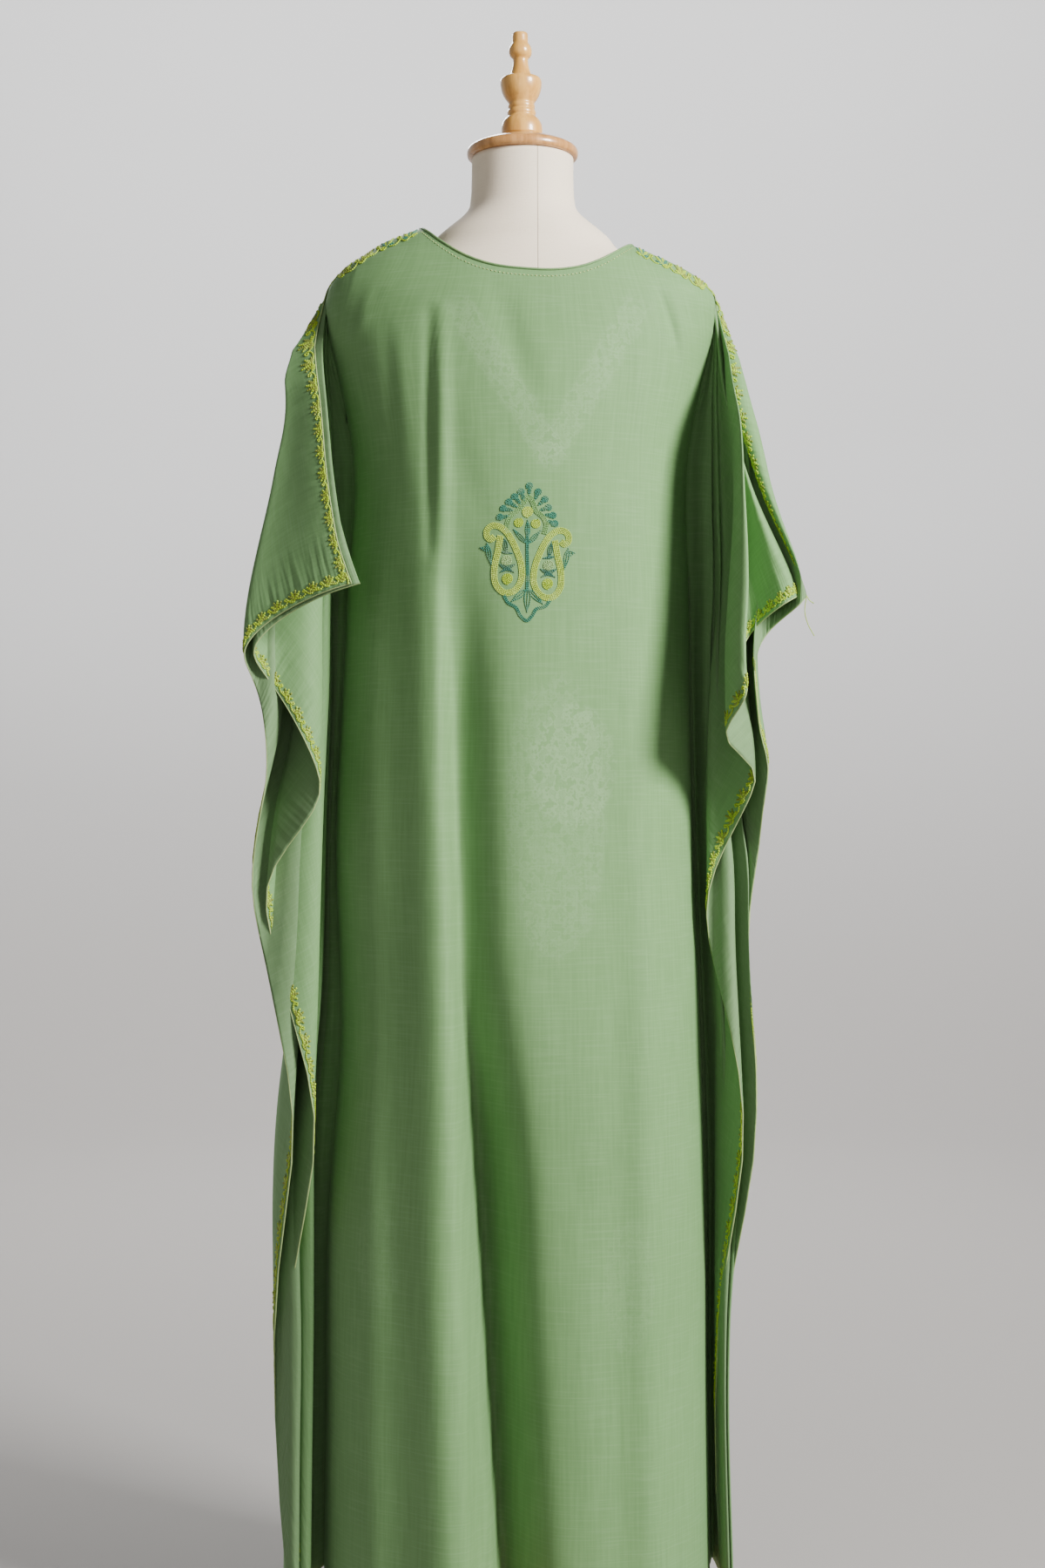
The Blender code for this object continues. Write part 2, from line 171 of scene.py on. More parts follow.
WING_FOLDS = {
    Side.LEFT: tuple(Fold(*row) for row in (
        (0.0, -0.152, -0.152, 0.43, 0.35, 0.012), (30.2, 0.193, 0.193, 0.235, 0.1, -0.018),
        (49.3, -0.03, 0.085, 0.15, 0.34, 0.016), (56.9, 0.111, 0.111, 0.097, 0.45, -0.02),
        (66.6, -0.004, 0.004, 0.06, 0.7, 0.026), (72.0, 0.04, 0.04, 0.03, 0.8, -0.028),
        (78.5, 0.006, 0.008, 0.004, 1.0, 0.03), (84.0, 0.036, 0.036, -0.013, 1.0, -0.026),
    )),
    Side.RIGHT: tuple(Fold(*row) for row in (
        (0.0, 0.3, 0.3, 0.24, 0.34, 0.034), (32.7, 0.046, 0.085, 0.215, 0.32, -0.006),
        (36.6, 0.0714, 0.088, 0.19, 0.34, 0.008), (43.7, -0.02, 0.09, 0.15, 0.34, -0.006),
        (46.8, 0.118, 0.118, 0.108, 0.38, 0.02), (57.3, -0.03, 0.05, 0.06, 0.5, -0.022),
        (66.6, 0.048, 0.052, 0.032, 0.65, 0.024), (73.0, 0.0, 0.006, 0.012, 0.95, -0.028),
        (79.5, 0.034, 0.034, -0.005, 1.0, 0.026),
    )),
}

WING_MANNER = {
    Side.LEFT: WingManner(0.024, 30.2, 0.060, 1.6, 2.0, 1.6),
    Side.RIGHT: WingManner(0.012, 40.0, 0.070, 0.7, 3.5, 1.5),
}
# How far a wing's outer folds reach beyond the body at some heights, as a share of their free fall
WING_DRAW = {
    Side.LEFT: (
        (1.460, 1.25), (1.430, 1.12), (1.400, 0.98), (1.350, 0.80), (1.270, 0.80), (1.100, 0.80),
        (1.030, 0.70), (0.980, 0.74), (0.920, 0.86), (0.770, 0.90), (0.714, 0.98), (0.650, 1.18),
        (0.560, 1.32), (0.430, 1.28), (0.360, 1.12), (0.230, 1.08), (0.085, 1.00),
    ),
    Side.RIGHT: (
        (1.460, 0.84), (1.400, 0.76), (1.360, 0.77), (1.320, 0.84), (1.250, 0.86), (1.140, 0.86),
        (1.085, 0.74), (1.030, 0.71), (0.970, 0.74), (0.920, 0.70), (0.860, 0.83), (0.790, 0.73),
        (0.710, 0.74), (0.600, 0.76), (0.545, 0.77), (0.489, 0.68), (0.432, 0.54), (0.376, 0.42),
        (0.320, 0.36), (0.085, 0.34),
    ),
}


def rise(low: float, high: float, value: np.ndarray | float) -> np.ndarray:
    """Rise smoothly from 0 to 1.

    Args:
        low: Where the rise starts.
        high: Where it is full; it may be below low.
        value: Where it is read.

    Returns:
        The share risen at each value.
    """
    share = np.clip((np.asarray(value, dtype=float) - low) / (high - low), 0.0, 1.0)
    return share * share * (3.0 - 2.0 * share)


def flow(places: Sequence[float], values: Sequence[float], wanted: np.ndarray) -> np.ndarray:
    """Read a smooth curve through a table's points.

    Args:
        places: The points' places, rising.
        values: Their values.
        wanted: The places to read.

    Returns:
        The curve's value at each wanted place.
    """
    at = np.asarray(places, dtype=float)
    known = np.asarray(values, dtype=float)
    slopes = np.gradient(known, at)
    wanted = np.clip(np.asarray(wanted, dtype=float), at[0], at[-1])
    index = np.clip(np.searchsorted(at, wanted, side="right") - 1, 0, len(at) - 2)
    width = at[index + 1] - at[index]
    part = (wanted - at[index]) / width
    square, cube = part ** 2, part ** 3
    start = (2 * cube - 3 * square + 1) * known[index] + (cube - 2 * square + part) * width * slopes[index]
    end = (3 * square - 2 * cube) * known[index + 1] + (cube - square) * width * slopes[index + 1]
    return start + end


@dataclass(frozen=True)
class Drape:
    """How the two panels hang: flat distances in, places of the cloth's middle surface out."""
    wall: float = 0.0012
    gap: float = 0.0003
    body_half: float = 0.235
    wing_width: float = 0.350
    hem: float = 0.085
    neck_left: tuple[float, float] = (-0.109, 1.532)
    neck_right: tuple[float, float] = (0.1185, 1.5155)
    back_neck_drop: float = 0.050
    back_neck_round: float = 2.6
    front_neck: tuple[float, float] = (0.020, 1.335)
    settle: float = 0.14
    shoulder_left: tuple[float, float] = (-0.2097, 1.462)
    shoulder_right: tuple[float, float] = (0.2050, 1.462)
    seam_drag: float = 0.008
    drag_low: float = 1.25
    side_drift: float = 0.040
    armhole: float = 0.30
    armhole_open: float = 0.012
    side_spread: float = 0.0018
    top_spread: float = 0.0030
    seam_spread: float = 0.0085
    fold_spread: float = 0.0040
    draw_clear: float = 0.004
    slack_swell: float = 1.30
    fan_angle: float = 15.0
    fan_width: float = 10.0
    fan_push: float = 0.021
    tube_angle: float = 38.0
    tube_width: float = 7.0
    tube_pull: float = 0.078
    bulge_width: float = 22.0
    fold_starts: float = 0.35
    softness: float = 0.5

    def outline(self, column: str, heights: np.ndarray) -> np.ndarray:
        """Read one column of the cloth's outline at some heights."""
        rows = CLOTH[::-1]
        return flow([row.z for row in rows], [getattr(row, column) for row in rows], heights)

    def shoulder(self, side: Side) -> tuple[float, float]:
        """X and height of a shoulder point."""
        return self.shoulder_left if side is Side.LEFT else self.shoulder_right

    def top_edge(self, panel: Panel, u: np.ndarray) -> tuple[np.ndarray, np.ndarray]:
        """Find a panel's top edge.

        Args:
            panel: Which rectangle.
            u: Flat distances from its centre line.

        Returns:
            X and height of the edge at each distance.
        """
        neck_half = self.body_half / 2
        share = np.clip(u / neck_half, -1.0, 1.0)
        left, right = self.neck_left, self.neck_right
        level = (left[1] + right[1]) / 2 + share * (right[1] - left[1]) / 2
        x = left[0] + (right[0] - left[0]) * (share + 1) / 2
        if panel is Panel.BACK:
            z = level - self.back_neck_drop * (1 - np.abs(share) ** self.back_neck_round)
        else:
            low_x, low_z = self.front_neck
            before = (x - low_x) / (left[0] - low_x)
            after = (x - low_x) / (right[0] - low_x)
            z = np.where(x < low_x, low_z + (left[1] - low_z) * before, low_z + (right[1] - low_z) * after)
        rows = [row for row in CLOTH if row.z >= self.shoulder_left[1]]
        for side, column in ((Side.LEFT, "left"), (Side.RIGHT, "right")):
            start = abs(left[0]) if side is Side.LEFT else right[0]
            end = abs(self.shoulder(side)[0])
            along = (np.abs(u) - neck_half) / (self.body_half - neck_half)
            reach = start + (end - start) * along
            height = np.interp(reach, [getattr(row, column) for row in rows], [row.z for row in rows])
            beyond = (np.abs(u) > neck_half) & (np.sign(u) == side.value)
            x = np.where(beyond, side.value * self.outline(column, height), x)
            z = np.where(beyond, height, z)
        return x, z

    def dent(self, panel: Panel, x: np.ndarray, z: np.ndarray) -> np.ndarray:
        """How far hanging folds and creases move the cloth inwards at each place.

        Args:
            panel: Which rectangle.
            x: Places across.
            z: Their heights.

        Returns:
            The depth inwards at each place.
        """
        depth = np.zeros(np.broadcast(x, z).shape)
        for fold in TROUGHS[panel]:
            offset = x - (fold.x + fold.drift * (1.2 - z))
            width = np.where(offset > 0, fold.right, fold.left)
            depth += fold.depth * np.exp(-(offset / width) ** 2) * rise(fold.starts, fold.full, z)
        for crease in CREASES[panel]:
            run = np.array((crease.x_to - crease.x_from, crease.z_to - crease.z_from))
            long = float(np.dot(run, run))
            along = ((x - crease.x_from) * run[0] + (z - crease.z_from) * run[1]) / long
            held = np.clip(along, 0.0, 1.0)
            away = np.hypot(x - crease.x_from - held * run[0], z - crease.z_from - held * run[1])
            fade = np.sin(math.pi * np.clip(0.08 + 0.84 * held, 0, 1)) ** 0.8
            depth += crease.depth * fade * np.exp(-(away / crease.width) ** 2)
        return depth

    def body(self, panel: Panel, u: np.ndarray, share: np.ndarray) -> np.ndarray:
        """Place points of a panel's body.

        Args:
            panel: Which rectangle.
            u: Flat distances from the centre line.
            share: Shares of the fall from the top edge.

        Returns:
            The points, in the broadcast shape of u and share, with a last axis of 3.
        """
        u, share = np.broadcast_arrays(np.asarray(u, dtype=float), np.asarray(share, dtype=float))
        x_top, z_top = self.top_edge(panel, u)
        z = z_top - (z_top - self.hem) * share
        half = np.where(u < 0, self.outline("left", z), self.outline("right", z))
        reach = self.outline(panel.value, z)
        hang = half * np.sin(math.pi / 2 * u / self.body_half)
        x = x_top + (hang - x_top) * rise(0.0, self.settle, z_top - z)
        bow = np.sqrt(np.clip(1 - (x / half) ** 2, 0.0, 1.0))
        away = -1 if panel is Panel.BACK else 1
        y = away * ((reach - self.dent(panel, x, z) * bow) * bow + (self.wall + self.gap) / 2)
        outer = np.abs(u) / self.body_half
        y = y - self.seam_drag * outer ** 3 * rise(self.drag_low, self.shoulder_left[1], z)
        y = y + self.side_drift * outer ** 4 * (z_top - z) / z_top
        if panel is Panel.FRONT:
            under = np.clip((z_top - z) / self.armhole, 0.0, 1.0)
            y = y + self.armhole_open * np.sin(math.pi * under) * outer ** 6
            spread = self.side_spread + (self.top_spread - self.side_spread) * (1 - under)
            x = x + np.sign(u) * spread * outer ** 8
        return np.stack((x, y, z), axis=-1)

    def ray_length(self, side: Side, angle: np.ndarray) -> np.ndarray:
        """How far a wing's ray runs from the shoulder point to the panel's edge or hem.

        Args:
            side: Which wing.
            angle: Flat angles of the rays, in degrees.

        Returns:
            The length of each ray.
        """
        fall = self.shoulder(side)[1] - self.hem
        turn = np.radians(np.asarray(angle, dtype=float))
        sine, cosine = np.maximum(np.sin(turn), 1e-9), np.maximum(np.cos(turn), 1e-9)
        return np.minimum(self.wing_width / cosine, fall / sine)

    def fold_lines(self, panel: Panel, side: Side, radius: np.ndarray, share: np.ndarray) -> np.ndarray:
        """Place the points of every fold of a wing.

        Args:
            panel: Which rectangle.
            side: Which wing.
            radius: Distances from the shoulder point.
            share: The rows' shares of the fall, for the side seam.

        Returns:
            Points in the shape folds + 1, rows, 3; the last line is the side seam.
        """
        manner = WING_MANNER[side]
        edge = np.full_like(share, side.value * self.body_half)
        shoulder = self.body(panel, edge, np.zeros_like(share))
        folds = WING_FOLDS[side]
        lines = []
        for number, fold in enumerate(folds):
            lean = fold.back_out if panel is Panel.BACK else fold.front_out
            if number == 0:
                out = lean * (radius / fold.full) ** manner.curl
            else:
                plain = folds[0].back_out * (1 - fold.angle / 90) ** 2
                out = plain + (lean - plain) * rise(self.fold_starts * fold.full, fold.full, radius)
            length = np.sqrt(1 + out ** 2 + fold.near ** 2)
            bulge = manner.bulge_size * math.exp(-((fold.angle - manner.bulge_angle) / self.bulge_width) ** 2)
            if panel is Panel.FRONT:
                bulge += self.seam_spread - self.top_spread
                bulge += self.fold_spread * math.sin(math.pi * fold.angle / 90)
            shift = bulge * np.minimum(1.0, radius / manner.bulge_reach)
            step = np.stack((side.value * out, np.full_like(out, -fold.near), -np.ones_like(out)), axis=-1)
            point = shoulder + step * (radius / length)[:, None]
            point[:, 0] += side.value * shift
            lines.append(point)
        lines.append(self.body(panel, edge, share))
        return np.array(lines)

    def draw_in(self, side: Side, points: np.ndarray) -> np.ndarray:
        """Draw a wing's outer folds towards the body or away from it, to the outline in the photograph.

        Args:
            side: Which wing.
            points: The wing's points, which are moved.

        Returns:
            The same points.
        """
        heights, shares = zip(*sorted(WING_DRAW[side]))
        share = flow(heights, shares, points[:, 2])
        half = self.outline("left" if side is Side.LEFT else "right", points[:, 2])
        beyond = np.maximum(side.value * points[:, 0] - half - self.draw_clear, 0.0)
        points[:, 0] += side.value * beyond * (share - 1.0)
        return points

    def wing(self, panel: Panel, side: Side, angles: np.ndarray, share: np.ndarray) -> np.ndarray:
        """Place the points of a wing.

        Args:
            panel: Which rectangle.
            side: Which wing.
            angles: Flat angles of the rays below the arm-top seam, in degrees.
            share: Shares of each ray's length.

        Returns:
            Points in the shape rays, rows, 3.
        """
        folds = WING_FOLDS[side]
        stops = np.array([fold.angle for fold in folds] + [90.0])
        rays = []
        for angle in angles:
            radius = float(self.ray_length(side, angle)) * share
            lines = self.fold_lines(panel, side, radius, share)
            index = min(int(np.searchsorted(stops, angle, side="right")) - 1, len(folds) - 1)
            part = (angle - stops[index]) / (stops[index + 1] - stops[index])
            turn = part + self.softness * ((1 - math.cos(math.pi * part)) / 2 - part)
            mix = np.array((turn, part, part))
            points = lines[index] + (lines[index + 1] - lines[index]) * mix
            points[:, 1] -= self.slack_swell * folds[index].slack * math.sin(2 * math.pi * part) * radius
            if side is Side.RIGHT:
                if panel is Panel.FRONT:
                    fan = math.exp(-((angle - self.fan_angle) / self.fan_width) ** 2)
                    reach = rise(0.0, 0.12, radius) * rise(0.40, 0.30, radius)
                    points[:, 0] += self.fan_push * fan * reach
                else:
                    tube = math.exp(-((angle - self.tube_angle) / self.tube_width) ** 2)
                    reach = rise(0.01, 0.16, radius) * rise(0.62, 0.42, radius)
                    points[:, 1] -= self.tube_pull * tube * reach
            rays.append(self.draw_in(side, points))
        return np.array(rays)


def link_object(name: str, data: bpy.types.ID) -> bpy.types.Object:
    """Put a mesh, a lamp or a camera in the scene as an object at the origin.

    Args:
        name: The object's name.
        data: What it holds.

    Returns:
        The object.
    """
    thing = bpy.data.objects.new(name, data)
    bpy.context.scene.collection.objects.link(thing)
    return thing


def plain_mesh(name: str, work: bmesh.types.BMesh) -> bpy.types.Mesh:
    """Turn finished work into a mesh and free the work.

    Args:
        name: The mesh's name.
        work: The finished work.

    Returns:
        The mesh.
    """
    mesh = bpy.data.meshes.new(name)
    work.to_mesh(mesh)
    work.free()
    return mesh


def loft(name: str, rings: Sequence[Sequence[tuple]], finish: bpy.types.Material) -> bpy.types.Object:
    """Skin rings of points from the top down, close both ends and dress the piece.

    Args:
        name: The piece's name.
        rings: Its rings, each with as many points.
        finish: Its material.

    Returns:
        The piece.
    """
    work = bmesh.new()
    rows = [[work.verts.new(point) for point in ring] for ring in rings]
    for upper, lower in zip(rows, rows[1:]):
        for step in range(len(upper)):
            after = (step + 1) % len(upper)
            face = work.faces.new((upper[step], lower[step], lower[after], upper[after]))
            face.smooth = True
    work.faces.new(rows[0])
    work.faces.new(tuple(reversed(rows[-1])))
    mesh = plain_mesh(name, work)
    mesh.materials.append(finish)
    return link_object(name, mesh)


@dataclass
class ClothSheet:
    """One panel as three fine grids, which tell where any flat place of the cut lies."""
    drape: Drape
    panel: Panel
    columns: int = 128
    rays: int = 60
    rows: int = 168
    row_power: float = 1.35
    ray_power: float = 0.86
    smoothing: int = 2
    map_top: float = 1.53
    map_drop: float = 0.07
    grids: dict = field(default_factory=dict)

    def build(self) -> None:
        """Work out the grids of points and of normals."""
        share = (np.arange(self.rows + 1) / self.rows) ** self.row_power
        across = np.linspace(-self.drape.body_half, self.drape.body_half, self.columns + 1)
        self.across, self.share = across, share
        body = self.drape.body(self.panel, across[:, None], share[None, :])
        self.grids["body"] = (body, self.normals(body, self.panel is Panel.BACK))
        for side in Side:
            wing = self.drape.wing(self.panel, side, self.angles(), share)
            for _ in range(self.smoothing):
                wing[1:-1] = 0.25 * wing[:-2] + 0.5 * wing[1:-1] + 0.25 * wing[2:]
            flip = (self.panel is Panel.BACK) == (side is Side.LEFT)
            self.grids[side] = (wing, self.normals(wing, flip))

    def angles(self) -> np.ndarray:
        """The rays' flat angles, denser where the wing is long."""
        return 90.0 * np.linspace(0.0, 1.0, self.rays + 1) ** self.ray_power

    @staticmethod
    def normals(grid: np.ndarray, flip: bool) -> np.ndarray:
        """Unit normals of a grid of points, turned round if flip is set.

        Args:
            grid: The points.
            flip: Whether the normals turn round.

        Returns:
            A normal for each point.
        """
        across = np.gradient(grid, axis=0)
        down = np.gradient(grid, axis=1)
        normal = np.cross(across, down)
        length = np.linalg.norm(normal, axis=-1, keepdims=True)
        normal = normal / np.maximum(length, 1e-12)
        return -normal if flip else normal

    @staticmethod
    def blend(grid: np.ndarray, column: np.ndarray, row: np.ndarray) -> np.ndarray:
        """Read a grid between its points, at fractional columns and rows.

        Args:
            grid: The grid.
            column: Fractional columns.
            row: Fractional rows.

        Returns:
            The grid's value at each place.
        """
        column = np.clip(column, 0, grid.shape[0] - 1.001)
        row = np.clip(row, 0, grid.shape[1] - 1.001)
        i, j = column.astype(int), row.astype(int)
        a, b = (column - i)[:, None], (row - j)[:, None]
        near = grid[i, j] * (1 - b) + grid[i, j + 1] * b
        far = grid[i + 1, j] * (1 - b) + grid[i + 1, j + 1] * b
        return near * (1 - a) + far * a

    def on_body(self, u: np.ndarray, v: np.ndarray) -> tuple[np.ndarray, np.ndarray]:
        """Points and normals at flat places of the body, v metres below its top edge.

        Args:
            u: Distances from the centre line.
            v: Distances below the top edge.

        Returns:
            Points and normals.
        """
        grid, normals = self.grids["body"]
        fall = self.drape.top_edge(self.panel, u)[1] - self.drape.hem
        column = (u + self.drape.body_half) / (2 * self.drape.body_half) * self.columns
        row = self.rows * np.clip(v / fall, 0, 1) ** (1 / self.row_power)
        return self.blend(grid, column, row), self.blend(normals, column, row)

    def on_wing(self, side: Side, a: np.ndarray, v: np.ndarray) -> tuple[np.ndarray, np.ndarray]:
        """Points and normals at flat places of a wing, a metres out and v metres down.

        Args:
            side: Which wing.
            a: Distances out from the side line.
            v: Distances below the top edge.

        Returns:
            Points and normals.
        """
        grid, normals = self.grids[side]
        angle = np.degrees(np.arctan2(v, np.maximum(a, 1e-9)))
        share = np.hypot(a, v) / self.drape.ray_length(side, angle)
        column = np.interp(angle, self.angles(), np.arange(self.rays + 1))
        row = self.rows * np.clip(share, 0, 1) ** (1 / self.row_power)
        return self.blend(grid, column, row), self.blend(normals, column, row)

    def flat_places(self, key: str | Side) -> np.ndarray:
        """The flat place of each grid point, for the cloth's own map.

        Args:
            key: The body or a wing.

        Returns:
            Across and down for each grid point.
        """
        if key == "body":
            _, top = self.drape.top_edge(self.panel, self.across)
            down = (top - self.drape.hem)[:, None] * self.share[None, :] + (self.map_top - top)[:, None]
            return np.stack(np.broadcast_arrays(self.across[:, None], down), axis=-1)
        turn = np.radians(self.angles())
        length = self.drape.ray_length(key, self.angles())
        out = (length * np.cos(turn))[:, None] * self.share[None, :]
        down = (length * np.sin(turn))[:, None] * self.share[None, :] + self.map_drop
        return np.stack((key.value * (self.drape.body_half + out), down), axis=-1)

    def mesh(self, name: str) -> bpy.types.Object:
        """Make the panel's shell, with its flat places as a UV map.

        Args:
            name: The piece's name.

        Returns:
            The piece, with a live wall thickness.
        """
        work = bmesh.new()
        flat = work.loops.layers.uv.new("flat")
        for key, (grid, _) in self.grids.items():
            outward = self.panel is Panel.FRONT
            if key is Side.RIGHT:
                outward = not outward
            places = self.flat_places(key)
            points = [[work.verts.new(point) for point in line] for line in grid]
            for i in range(grid.shape[0] - 1):
                for j in range(grid.shape[1] - 1):
                    corners = [(i, j), (i + 1, j), (i + 1, j + 1), (i, j + 1)]
                    if not outward:
                        corners.reverse()
                    face = work.faces.new([points[c][r] for c, r in corners])
                    face.smooth = True
                    for loop, (c, r) in zip(face.loops, corners):
                        loop[flat].uv = places[c, r]
        bmesh.ops.remove_doubles(work, verts=work.verts, dist=MERGE)
        thing = link_object(name, plain_mesh(name, work))
        wall = thing.modifiers.new("Wall", "SOLIDIFY")
        wall.thickness = self.drape.wall
        wall.offset = 0.0
        wall.material_offset = 1
        wall.material_offset_rim = 0
        return thing


class Wire:
    """A value in a material, on which sums are written as Python expressions."""

    def __init__(self, recipe: "Recipe", socket: bpy.types.NodeSocket) -> None:
        """Keep the recipe and the socket that gives the value."""
        self.recipe = recipe
        self.socket = socket

    def sum_with(self, operation: str, first: "Wire | float", second: "Wire | float") -> "Wire":
        """Add one Math node for two values."""
        return self.recipe.add("ShaderNodeMath", {"operation": operation}, {0: first, 1: second})

    def __add__(self, other: "Wire | float") -> "Wire":
        """Sum."""
        return self.sum_with("ADD", self, other)

    def __radd__(self, other: float) -> "Wire":
        """Sum, from the right."""
        return self.sum_with("ADD", other, self)

    def __sub__(self, other: "Wire | float") -> "Wire":
        """Difference."""
        return self.sum_with("SUBTRACT", self, other)

    def __rsub__(self, other: float) -> "Wire":
        """Difference, from the right."""
        return self.sum_with("SUBTRACT", other, self)

    def __mul__(self, other: "Wire | float") -> "Wire":
        """Product."""
        return self.sum_with("MULTIPLY", self, other)

    def __rmul__(self, other: float) -> "Wire":
        """Product, from the right."""
        return self.sum_with("MULTIPLY", other, self)

    def __pow__(self, other: float) -> "Wire":
        """Power."""
        return self.sum_with("POWER", self, other)

    def size(self) -> "Wire":
        """The value without its sign."""
        return self.recipe.add("ShaderNodeMath", {"operation": "ABSOLUTE"}, {0: self})

    def step(self, low: float, high: float) -> "Wire":
        """Rise smoothly from 0 at low to 1 at high; low may be above high.

        Args:
            low: Where the rise starts.
            high: Where it is full.

        Returns:
            The share risen.
        """
        start, end = (low, high) if low < high else (high, low)
        levels = (0.0, 1.0) if low < high else (1.0, 0.0)
        return self.recipe.add(
            "ShaderNodeMapRange",
            {"interpolation_type": "SMOOTHSTEP"},
            {"Value": self, "From Min": start, "From Max": end, "To Min": levels[0], "To Max": levels[1]},
        )


class Recipe:
    """A material in the making: its node tree and one way to add to it."""

    def __init__(self, name: str) -> None:
        """Start an empty material.

        Args:
            name: The material's name.
        """
        self.material = bpy.data.materials.new(name)
        self.material.use_nodes = True
        self.tree = self.material.node_tree
        self.tree.nodes.clear()

    def add(self, kind: str, settings: dict | None = None, inputs: dict | None = None,
            output: int | str = 0) -> Wire:
        """Add a node.

        Args:
            kind: The node's type.
            settings: Its own settings; "stops" is a ramp's list of (position, colour).
            inputs: Values or wires for its sockets, by name or number.
            output: Which output is wanted.

        Returns:
            The output as a wire.
        """
        node = self.tree.nodes.new(kind)
        for key, value in (settings or {}).items():
            if key == "stops":
                ramp = node.color_ramp
                for number, (position, colour) in enumerate(value):
                    stop = ramp.elements[number] if number < 2 else ramp.elements.new(position)
                    stop.position = position
                    stop.color = colour
            else:
                setattr(node, key, value)
        for key, value in (inputs or {}).items():
            if isinstance(value, Wire):
                self.tree.links.new(value.socket, node.inputs[key])
            else:
                node.inputs[key].default_value = value
        return Wire(self, node.outputs[output])

    def spot(self) -> Wire:
        """The place on the object, in its own coordinates."""
        return self.add("ShaderNodeTexCoord", output="Object")

    def axis(self, place: Wire, name: str) -> Wire:
        """One axis of a place."""
        return self.add("ShaderNodeSeparateXYZ", None, {0: place}, output=name)

    def place(self, source: str, scale: tuple[float, float, float]) -> Wire:
        """A stretched coordinate: the object's own, or the cloth's flat map."""
        start = self.add("ShaderNodeUVMap", {"uv_map": "flat"}) if source == "flat" else self.spot()
        return self.add("ShaderNodeMapping", None, {"Vector": start, "Scale": scale})

    def noise(self, place: Wire, scale: float, detail: float = 2.0, rough: float = 0.5) -> Wire:
        """Noise at a place, about 0 to 1."""
        sizes = {"Vector": place, "Scale": scale, "Detail": detail, "Roughness": rough}
        return self.add("ShaderNodeTexNoise", None, sizes)

    def yarn(self, source: str, stretch: tuple[float, float, float], scale: float, detail: float = 2.0,
             rough: float = 0.5) -> Wire:
        """Noise that is stretched along or across the cloth or the grain.

        Args:
            source: "flat" for the cloth's own map, "object" for the object's coordinates.
            stretch: The scale of each axis; a small one draws the noise out along it.
            scale: The noise's own scale.
            detail: Its octaves.
            rough: How strong the fine ones are.

        Returns:
            The noise, about 0 to 1.
        """
        return self.noise(self.place(source, stretch), scale, detail, rough)

    def mix(self, factor: Wire | float, first: Wire | Colour, second: Wire | Colour) -> Wire:
        """Mix two colours."""
        return self.add("ShaderNodeMix", {"data_type": "RGBA"}, {0: factor, 6: first, 7: second}, output=2)

    def bump(self, height: Wire, strength: float, distance: float, normal: Wire | None = None) -> Wire:
        """Turn a height into a normal.

        Args:
            height: The height.
            strength: How much of it shows.
            distance: What a height of 1 stands for, in metres.
            normal: An earlier bump to add to.

        Returns:
            The normal.
        """
        inputs = {"Height": height, "Strength": strength, "Distance": distance}
        if normal is not None:
            inputs["Normal"] = normal
        return self.add("ShaderNodeBump", None, inputs)

    def finish(self, inputs: dict) -> bpy.types.Material:
        """End in a Principled shader with these inputs.

        Args:
            inputs: The shader's sockets by name.

        Returns:
            The material.
        """
        shader = self.add("ShaderNodeBsdfPrincipled", None, inputs)
        surface = self.tree.nodes.new("ShaderNodeOutputMaterial").inputs["Surface"]
        self.tree.links.new(shader.socket, surface)
        return self.material


